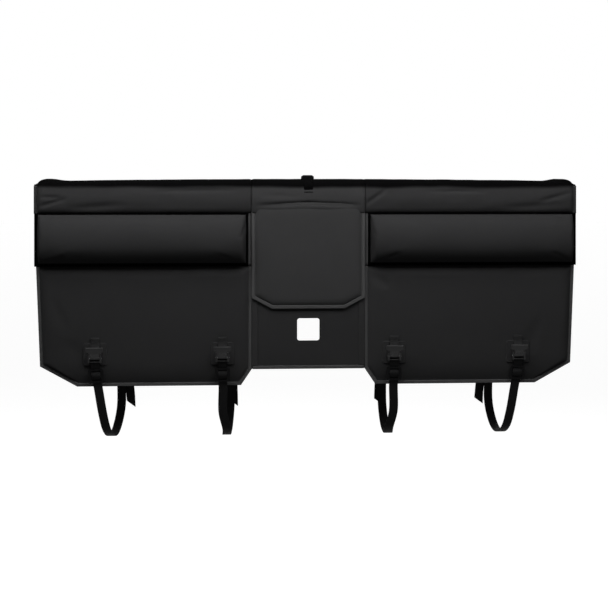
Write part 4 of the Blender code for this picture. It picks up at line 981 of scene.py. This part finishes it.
# Webbing: flat woven strap with cross ribs and rounded edges. Each strap runs from its free front end
# through the slider and under the cam, over the frame's guide, down behind, round below the tailgate and
# up to the ladder lock, where its tail hangs. Short doubled tabs hold the buckles.
WEBBING_COLOUR = (0.0050, 0.0050, 0.0052, 1.0)
WEBBING_WIDTH = 0.0258
WEBBING_HALF = 0.0007
WEBBING_COLUMNS = 9
WEBBING_EDGE = 0.30
WEBBING_ROUNDNESS = 0.4
WEBBING_GAP = 0.0003
LAYER_PITCH = 2 * WEBBING_HALF + WEBBING_GAP
STRAP_PLACES = {
    "outer": {"buckle": 0.613, "slider": 0.608, "foot": 0.603, "loop": 0.570, "back": 0.549, "lock": 0.551,
              "tail": 0.521},
    "inner": {"buckle": 0.249, "slider": 0.248, "foot": 0.247, "loop": 0.237, "back": 0.227, "lock": 0.228,
              "tail": 0.217},
}
PATCH_STAND = 0.0145
PATCH_FACE_Y = FRONT_Y - PATCH_STAND
REAR_FACE_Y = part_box("inner_panel")[1].y
PIVOT_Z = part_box("left_outer_cam_pin")[0].z / 2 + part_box("left_outer_cam_pin")[1].z / 2
SLIDER_DROP = 0.052
SLIDER_Z = PIVOT_Z - SLIDER_DROP
LOCK_Z = -0.300
PAD_FOOT_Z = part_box("left_lower_panel")[0].z
LOOP_DROP = 0.152
LOOP_SWAY = 0.0055
LOOP_SHARES = ((0.01, 0.06), (0.03, 0.50), (0.14, 0.84), (0.46, 1.0), (0.80, 0.88), (0.96, 0.50), (1.0, 0.0))
SLIDER_TOP = 0.0191
SLIDER_TURN = 0.0127
SLIDER_BAR = 0.0043
FREE_END_OUT = 0.0095
STRAP_OUT = 0.0078
TAIL_DROP = 0.326
TAIL_CUT = 0.019
PLATE_FOOT = 0.013
GUIDE_RISE = 0.0175
PLATE_MIDDLE = 0.0049
GUIDE_WRAP = 0.0019
ANCHOR_RISE = 0.0275
ANCHOR_WRAP = 0.0032
LOCK_MIDDLE = 0.0059
LOCK_WRAP = 0.0037
LOCK_LIP = 0.017
LOCK_ANCHOR_RISE = 0.012
TAB_TOP = 0.030
TAB_OPENING = 0.012
BOX_LOW = 0.015
BOX_HIGH = 0.0275
BOX_HALF = 0.0095
BOX_LIFT = 0.0001
TAB_COLOUR = (0.0200, 0.0200, 0.0204, 1.0)
WEBBING = cloth_finish("webbing", WEBBING_COLOUR, 0.50, 520.0, 0.0, 0.00035, change=0.15, specular=0.03)
TAB_WEBBING = cloth_finish("tab_webbing", TAB_COLOUR, 0.55, 620.0, 0.1, 0.00030, change=0.15)


def smooth_line(points, steps):
    """A smooth curve through all the points."""
    points = [np.array(point, float) for point in points]
    ends = [2 * points[0] - points[1], *points, 2 * points[-1] - points[-2]]
    line = []
    for a, b, c, d in zip(ends, ends[1:], ends[2:], ends[3:]):
        for t in np.arange(steps) / steps:
            line.append(0.5 * (2 * b + (c - a) * t + (2 * a - 5 * b + 4 * c - d) * t ** 2
                               + (3 * b - a - 3 * c + d) * t ** 3))
    return np.array(line + [points[-1]])


def webbing_body(name, route, node, finish, end_cut=0.0):
    """A strap along its middle line. Its width lies along X and its edges are rounded."""
    route = np.array(route)
    way = np.gradient(route, axis=0)
    way /= np.linalg.norm(way, axis=1)[:, None]
    normals = np.cross((1.0, 0.0, 0.0), way)
    normals /= np.linalg.norm(normals, axis=1)[:, None]
    turns = np.linspace(-math.pi / 2, math.pi / 2, WEBBING_COLUMNS)
    places = WEBBING_WIDTH / 2 * np.sin(turns)
    lifts = WEBBING_HALF * (WEBBING_EDGE + (1.0 - WEBBING_EDGE) * np.cos(turns) ** WEBBING_ROUNDNESS)
    across = places[None, :, None] * np.array([1.0, 0.0, 0.0])
    slant = np.zeros((len(route), WEBBING_COLUMNS, 3))
    slant[-1, :, 2] = -end_cut * (places / WEBBING_WIDTH + 0.5)
    lift = normals[:, None, :] * lifts[None, :, None]
    middle = route[:, None, :] + across + slant
    finished(skin_body(name, middle + lift, middle - lift, finish), "webbing", node)


def weave_points(behind, in_front):
    """How a layer of strap passes the slider, downwards: distance from the patch and height in the slider."""
    return [(behind, SLIDER_TOP), (behind, SLIDER_TURN), (in_front, SLIDER_BAR), (in_front, -SLIDER_BAR),
            (behind, -SLIDER_TURN), (behind, -SLIDER_TOP)]


def strap_route(places, side):
    """The strap's middle line from its free front end to its tail on the bed side."""
    first = WEBBING_HALF + WEBBING_GAP
    plate_foot_z = PIVOT_Z - PLATE_FOOT
    lean = (places["buckle"] - places["slider"]) / (PIVOT_Z - SLIDER_Z)
    free_end = reversed(weave_points(first + LAYER_PITCH, FREE_END_OUT))
    points = [(d, SLIDER_Z + z) for d, z in free_end]
    points.append((PLATE_MIDDLE + GUIDE_WRAP, plate_foot_z))
    points += [*arc_points((PLATE_MIDDLE, PIVOT_Z + GUIDE_RISE), GUIDE_WRAP, 0, 180, 8)]
    points.append((PLATE_MIDDLE - GUIDE_WRAP, plate_foot_z))
    points += [(d, SLIDER_Z + z) for d, z in weave_points(first, STRAP_OUT)]
    front = [(places["buckle"] - max(plate_foot_z - z, 0.0) * lean, PATCH_FACE_Y - d, z) for d, z in points]
    rear = [(LOCK_MIDDLE - LOCK_WRAP, LOCK_Z - LOCK_LIP)]
    rear += [*arc_points((LOCK_MIDDLE, LOCK_Z), LOCK_WRAP, 180, 0, 8)]
    rear.append((LOCK_MIDDLE + LOCK_WRAP, LOCK_Z - LOCK_LIP))
    rear = [(places["lock"], REAR_FACE_Y + d, z) for d, z in rear]
    tail = np.linspace(rear[-1], (places["tail"], rear[-1][1], rear[-1][2] - TAIL_DROP), 24)[1:]
    lead = (places["foot"] + places["loop"]) / 2
    front_y = front[-1][1]
    depth = rear[0][1] - front_y
    loop_xs = (places["foot"], lead + LOOP_SWAY, lead - LOOP_SWAY, places["loop"],
               (places["loop"] + places["back"]) / 2, places["back"], places["back"])
    loop = [(x, front_y + back * depth, PAD_FOOT_Z - down * LOOP_DROP)
            for x, (back, down) in zip(loop_xs, LOOP_SHARES)]
    hang = [front[-1], *loop, (places["lock"], rear[0][1], (PAD_FOOT_Z + LOCK_Z) / 2), rear[0]]
    line = np.vstack([smooth_line(front, 2)[:-1], smooth_line(hang, 8), np.array(rear[1:]), tail])
    line[:, 0] *= side
    return line


def tab_route(x, face_y, direction, bar_z, bar_distance, wrap):
    """A doubled tab: sewn end, round the bar and back over itself."""
    lower = WEBBING_HALF + WEBBING_GAP
    upper = lower + LAYER_PITCH
    points = [(lower, bar_z + TAB_TOP), (lower, bar_z + TAB_OPENING)]
    points += [*arc_points((bar_distance, bar_z), wrap, 180, 360, 10)]
    points += [(upper, bar_z + TAB_OPENING + LAYER_PITCH), (upper, bar_z + TAB_TOP)]
    return smooth_line([(x, face_y + direction * d, z) for d, z in points], 2)


def box_stitch(x, y, bar_z):
    """Four sides and the two diagonals, sewn through a tab above its bar."""
    low_z = bar_z + BOX_LOW
    high_z = bar_z + BOX_HIGH
    corners = [(x - BOX_HALF, y, low_z), (x + BOX_HALF, y, low_z), (x + BOX_HALF, y, high_z),
               (x - BOX_HALF, y, high_z)]
    return [np.array([*corners, corners[0]]), np.array(corners[::2]), np.array(corners[1::2])]


WEBBING_THREAD = []
for label, side in SIDES.items():
    for kind, places in STRAP_PLACES.items():
        prefix = label + "_" + kind + "_"
        webbing_body(prefix + "webbing", strap_route(places, side), prefix + "strap", WEBBING, TAIL_CUT)
        for tab, face_y, direction, bar_z, bar_distance, wrap in (
                ("buckle", PATCH_FACE_Y, -1, PIVOT_Z + ANCHOR_RISE, PLATE_MIDDLE, ANCHOR_WRAP),
                ("lock", REAR_FACE_Y, 1, LOCK_Z + LOCK_ANCHOR_RISE, LOCK_MIDDLE, LOCK_WRAP)):
            x = side * places[tab]
            route = tab_route(x, face_y, direction, bar_z, bar_distance, wrap)
            webbing_body(prefix + tab + "_webbing", route, prefix + tab + "_tab", TAB_WEBBING)
            WEBBING_THREAD += box_stitch(x, face_y + direction * (2 * LAYER_PITCH + BOX_LIFT), bar_z)

# Patches: a second layer of the same cloth sewn on behind each cam buckle, where the strap pulls.
PATCH_CORNER = 0.008
PATCH_CORNER_CUTS = ((0.0, PATCH_CORNER), (PATCH_CORNER * 0.3, PATCH_CORNER * 0.3), (PATCH_CORNER, 0.0))
PATCH_DEPTH = 0.0012
PATCH_EDGE_DEPTH = 0.0004
PATCH_EDGE_REACH = 0.001
PATCH_STITCH = 0.004
PATCH_STITCH_DIP = 0.0003
PATCH_STITCH_WIDTH = 0.0015
PATCH_STEP = 0.002


def patch_depth(x, z):
    inside = edge_distance(x, z, corners)
    dip = PATCH_STITCH_DIP * math.exp(-((inside - PATCH_STITCH) / PATCH_STITCH_WIDTH) ** 2)
    return PATCH_EDGE_DEPTH + (PATCH_DEPTH - PATCH_EDGE_DEPTH) * min(inside / PATCH_EDGE_REACH, 1.0) - dip


for label in SIDES:
    for kind in STRAP_PLACES:
        node = label + "_" + kind + "_patch"
        low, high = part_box(node)
        corners = []
        for (x, z), right, up in zip(rectangle(low, high), (1, -1, -1, 1), (1, 1, -1, -1)):
            cuts = [(x + right * in_x, z + up * in_z) for in_x, in_z in PATCH_CORNER_CUTS]
            corners += cuts if right == up else cuts[::-1]
        outer, inner = panel_grids(corners, PATCH_STEP, patch_depth, high.y)
        finished(skin_body(node + "_cover", outer, inner, VINYL), "coated_fabric", node)
        ring = rectangle(low, high, PATCH_STITCH)
        THREAD_ROWS.append(np.array([(x, high.y - PATCH_DEPTH, z) for x, z in (*ring, ring[0])]))

# Top straps: two short lengths of webbing sewn to the centre of the roll, each folded round its half of
# the quick-release buckle. A bar tack holds the front one at its end, on the roll's front.
TOP_BAR_Z = 0.0184
TOP_BAR_WRAP = 0.0034
TOP_BARS = {"front": -0.0173, "rear": 0.0202}
TOP_DROPS = {"front": 0.026, "rear": 0.050}
TOP_BAR_GAP = 0.006
TOP_FOLD_Z = 0.0177
TOP_FOLD_LEAD = 0.0055
TOP_FOLD = 0.006
# Near black, like the roll it lies on: painted shade on the top straps.
TOP_WEBBING_SHADE_COLOUR = (0.0024, 0.0024, 0.0025, 1.0)
TOP_STRAP_OFFSET = 0.0022
TUCKED_OFFSET = 0.0008
TUCK_Z = (-0.016, -0.004)
BAR_TACK_Z = -0.0224
BAR_TACK_HALF = 0.0125
BAR_TACK_RISES = (-0.0012, -0.0004, 0.0004, 0.0012)
BAR_TACK_LIFT = 0.0003
TOP_WEBBING = cloth_finish("top_webbing_painted_shade", TOP_WEBBING_SHADE_COLOUR, 0.60, 520.0, 0.0, 0.00035, change=0.15)
centre_section = saddle_section(SADDLE_SHAPES["centre"]["padding"], SADDLE_SHAPES["centre"]["foot"])
tucked = np.interp(centre_section[:, 1], TUCK_Z, (TUCKED_OFFSET, TOP_STRAP_OFFSET))[:, None]
strap_line = centre_section + line_normals(centre_section) * tucked
turns = np.radians(np.linspace(-90.0, 150.0, 12))
for label, bar_y in TOP_BARS.items():
    sign = -1 if label == "front" else 1
    line = [(y, z) for y, z in strap_line[::-sign] if z > -TOP_DROPS[label]]
    lying = [(y, z) for y, z in line if sign * (y - bar_y) > TOP_BAR_GAP]
    loop = [(bar_y - sign * TOP_BAR_WRAP * math.cos(turn), TOP_BAR_Z + TOP_BAR_WRAP * math.sin(turn))
            for turn in turns]
    fold_y = bar_y + sign * (TOP_BAR_WRAP + TOP_FOLD_LEAD)
    route = [(line[0][0], -TOP_DROPS[label]), *lying, *loop, (fold_y, TOP_FOLD_Z),
             (fold_y + sign * TOP_FOLD, TOP_FOLD_Z)]
    webbing_body("top_" + label + "_webbing", smooth_line([(0.0, y, z) for y, z in route], 2),
                 "top_" + label + "_strap", TOP_WEBBING)
front_skin = np.array([(y, z) for y, z in CENTRE_LINE if y < 0 and z < ROLL_START_Z])
tack_y = np.interp(BAR_TACK_Z, front_skin[:, 1], front_skin[:, 0]) - BAR_TACK_LIFT
BAR_TACKS = [np.array([(x, tack_y, BAR_TACK_Z + rise) for x in (-BAR_TACK_HALF, BAR_TACK_HALF)])
             for rise in BAR_TACK_RISES]

# Thread: bonded thread in a lock stitch along every binding, tape and patch, and box stitches on the
# tabs. The bar tack on the roll's front is four close rows.
THREAD_COLOUR = (0.030, 0.030, 0.030, 1.0)
TACK_COLOUR = (0.0015, 0.0015, 0.0015, 1.0)
SEAM_STITCH = (0.0042, 0.0034)
WEBBING_STITCH = (0.0026, 0.0024)
TACK_STITCH = (0.0009, 0.0016)
THREAD_THICKNESS = 0.0008


def thread_finish(name, colour):
    return new_finish(name, {"Base Color": colour, "Roughness": 0.5, "Specular IOR Level": 0.05})[0]


def make_stitch_tree():
    """Rows of stitches along the edges of a mesh: each stitch is a small grain that lies along its row."""
    tree, into, out = new_group("stitch_rows", "GeometryNodeTree",
                                {"Rows": "Geometry", "Pitch": SEAM_STITCH[0], "Length": SEAM_STITCH[1],
                                 "Thickness": THREAD_THICKNESS, "Thread": "Material"},
                                {"Stitches": "Geometry"})
    rows, pitch, length, thickness, thread = into.outputs[:5]
    curves = add_node(tree, "GeometryNodeMeshToCurve", {"Mesh": rows}).outputs["Curve"]
    spaced = {"Curve": curves, "Length": pitch}
    points = add_node(tree, "GeometryNodeCurveToPoints", spaced, mode="LENGTH").outputs
    grain = add_node(tree, "GeometryNodeMeshUVSphere", {"Segments": 6, "Rings": 4, "Radius": 0.5})
    smooth = add_node(tree, "GeometryNodeSetShadeSmooth", {"Geometry": grain.outputs["Mesh"]})
    size = add_node(tree, "ShaderNodeCombineXYZ", {"X": thickness, "Y": thickness, "Z": length})
    grains = add_node(tree, "GeometryNodeInstanceOnPoints", {
        "Points": points["Points"], "Instance": smooth.outputs["Geometry"], "Rotation": points["Rotation"],
        "Scale": size.outputs["Vector"]})
    solid = add_node(tree, "GeometryNodeRealizeInstances", {"Geometry": grains.outputs["Instances"]})
    sewn = add_node(tree, "GeometryNodeSetMaterial", {
        "Geometry": solid.outputs["Geometry"], "Material": thread})
    tree.links.new(sewn.outputs["Geometry"], out.inputs["Stitches"])
    return tree


STITCH_TREE = make_stitch_tree()


def stitches(name, rows, pitch, length, thread, slot):
    """One mesh of stitches along all the rows, as plain mesh."""
    points = []
    edges = []
    for row in rows:
        start = len(points)
        points += [tuple(point) for point in row]
        edges += [(start + i, start + i + 1) for i in range(len(row) - 1)]
    mesh = bpy.data.meshes.new(name)
    mesh.from_pydata(points, edges, [])
    body = add_object(name, mesh)
    sewing = body.modifiers.new("sewing", "NODES")
    sewing.node_group = STITCH_TREE
    values = {"Pitch": pitch, "Length": length, "Thickness": THREAD_THICKNESS, "Thread": thread}
    for item in STITCH_TREE.interface.items_tree:
        if item.in_out == "INPUT" and item.name in values:
            sewing[item.identifier] = values[item.name]
    apply_modifiers(body)
    finished(body, slot)


SEAM_THREAD = thread_finish("seam_thread", THREAD_COLOUR)
stitches("seam_stitches", THREAD_ROWS, *SEAM_STITCH, SEAM_THREAD, "binding")
stitches("webbing_stitches", WEBBING_THREAD, *WEBBING_STITCH, SEAM_THREAD, "webbing")
stitches("bar_tack", BAR_TACKS, *TACK_STITCH, thread_finish("tack_thread", TACK_COLOUR), "webbing")

# Buckles, levers, sliders and ladder locks: moulded in black acetal, with softened edges and a fine
# spark-eroded grain. The pins are drawn steel.
PLASTIC_COLOUR = (0.008, 0.008, 0.0083, 1.0)
SLIDER_COLOUR = (0.0040, 0.0040, 0.0042, 1.0)
STEEL_COLOUR = (0.42, 0.42, 0.43, 1.0)
GLOSS_PIECES = ("buckle_frame", "cam_lever")
MATT_PIECES = ("slider", "ladder_lock")
EDGE_ROUNDING = 0.0004
EDGE_ANGLE_DEG = 35
WELD_DISTANCE = 0.00002
MOULD_GRAIN = 2200.0
MOULD_RELIEF = 0.00004


def plastic_finish(name, colour, roughness, specular):
    """Moulded acetal with the fine grain that its mould leaves."""
    finish, tree, shader = new_finish(name, {"Specular IOR Level": specular})
    place = tree.nodes.new("ShaderNodeTexCoord").outputs["Object"]
    handling = {"Position": place, "Colour": colour, "Colour change": 0.1, "Roughness": roughness}
    link_surface(tree, shader, handling, noise_node(tree, place, MOULD_GRAIN), MOULD_RELIEF)
    return finish


PLASTIC = plastic_finish("buckle_plastic", PLASTIC_COLOUR, 0.40, 0.20)
SLIDER_PLASTIC = plastic_finish("slider_plastic", SLIDER_COLOUR, 0.55, 0.03)
STEEL = new_finish("pin_steel", {"Base Color": STEEL_COLOUR, "Metallic": 1.0, "Roughness": 0.30})[0]


def dress_solid(name, finish):
    """Joins a solid's loose triangles, rounds its edges and gives it its material."""
    solid = bpy.data.objects[name]
    weld = solid.modifiers.new("weld", "WELD")
    weld.merge_threshold = WELD_DISTANCE
    soften = solid.modifiers.new("edges", "BEVEL")
    soften.width = EDGE_ROUNDING
    soften.segments = 2
    soften.limit_method = "ANGLE"
    soften.angle_limit = math.radians(EDGE_ANGLE_DEG)
    soften.harden_normals = True
    solid.data.materials.clear()
    solid.data.materials.append(finish)


for label in SIDES:
    for kind in STRAP_PLACES:
        prefix = label + "_" + kind + "_"
        for piece in GLOSS_PIECES:
            dress_solid(prefix + piece, PLASTIC)
        for piece in MATT_PIECES:
            dress_solid(prefix + piece, SLIDER_PLASTIC)
        dress_solid(prefix + "cam_pin", STEEL)
for piece in ("top_buckle_socket", "top_buckle_plug"):
    dress_solid(piece, SLIDER_PLASTIC)
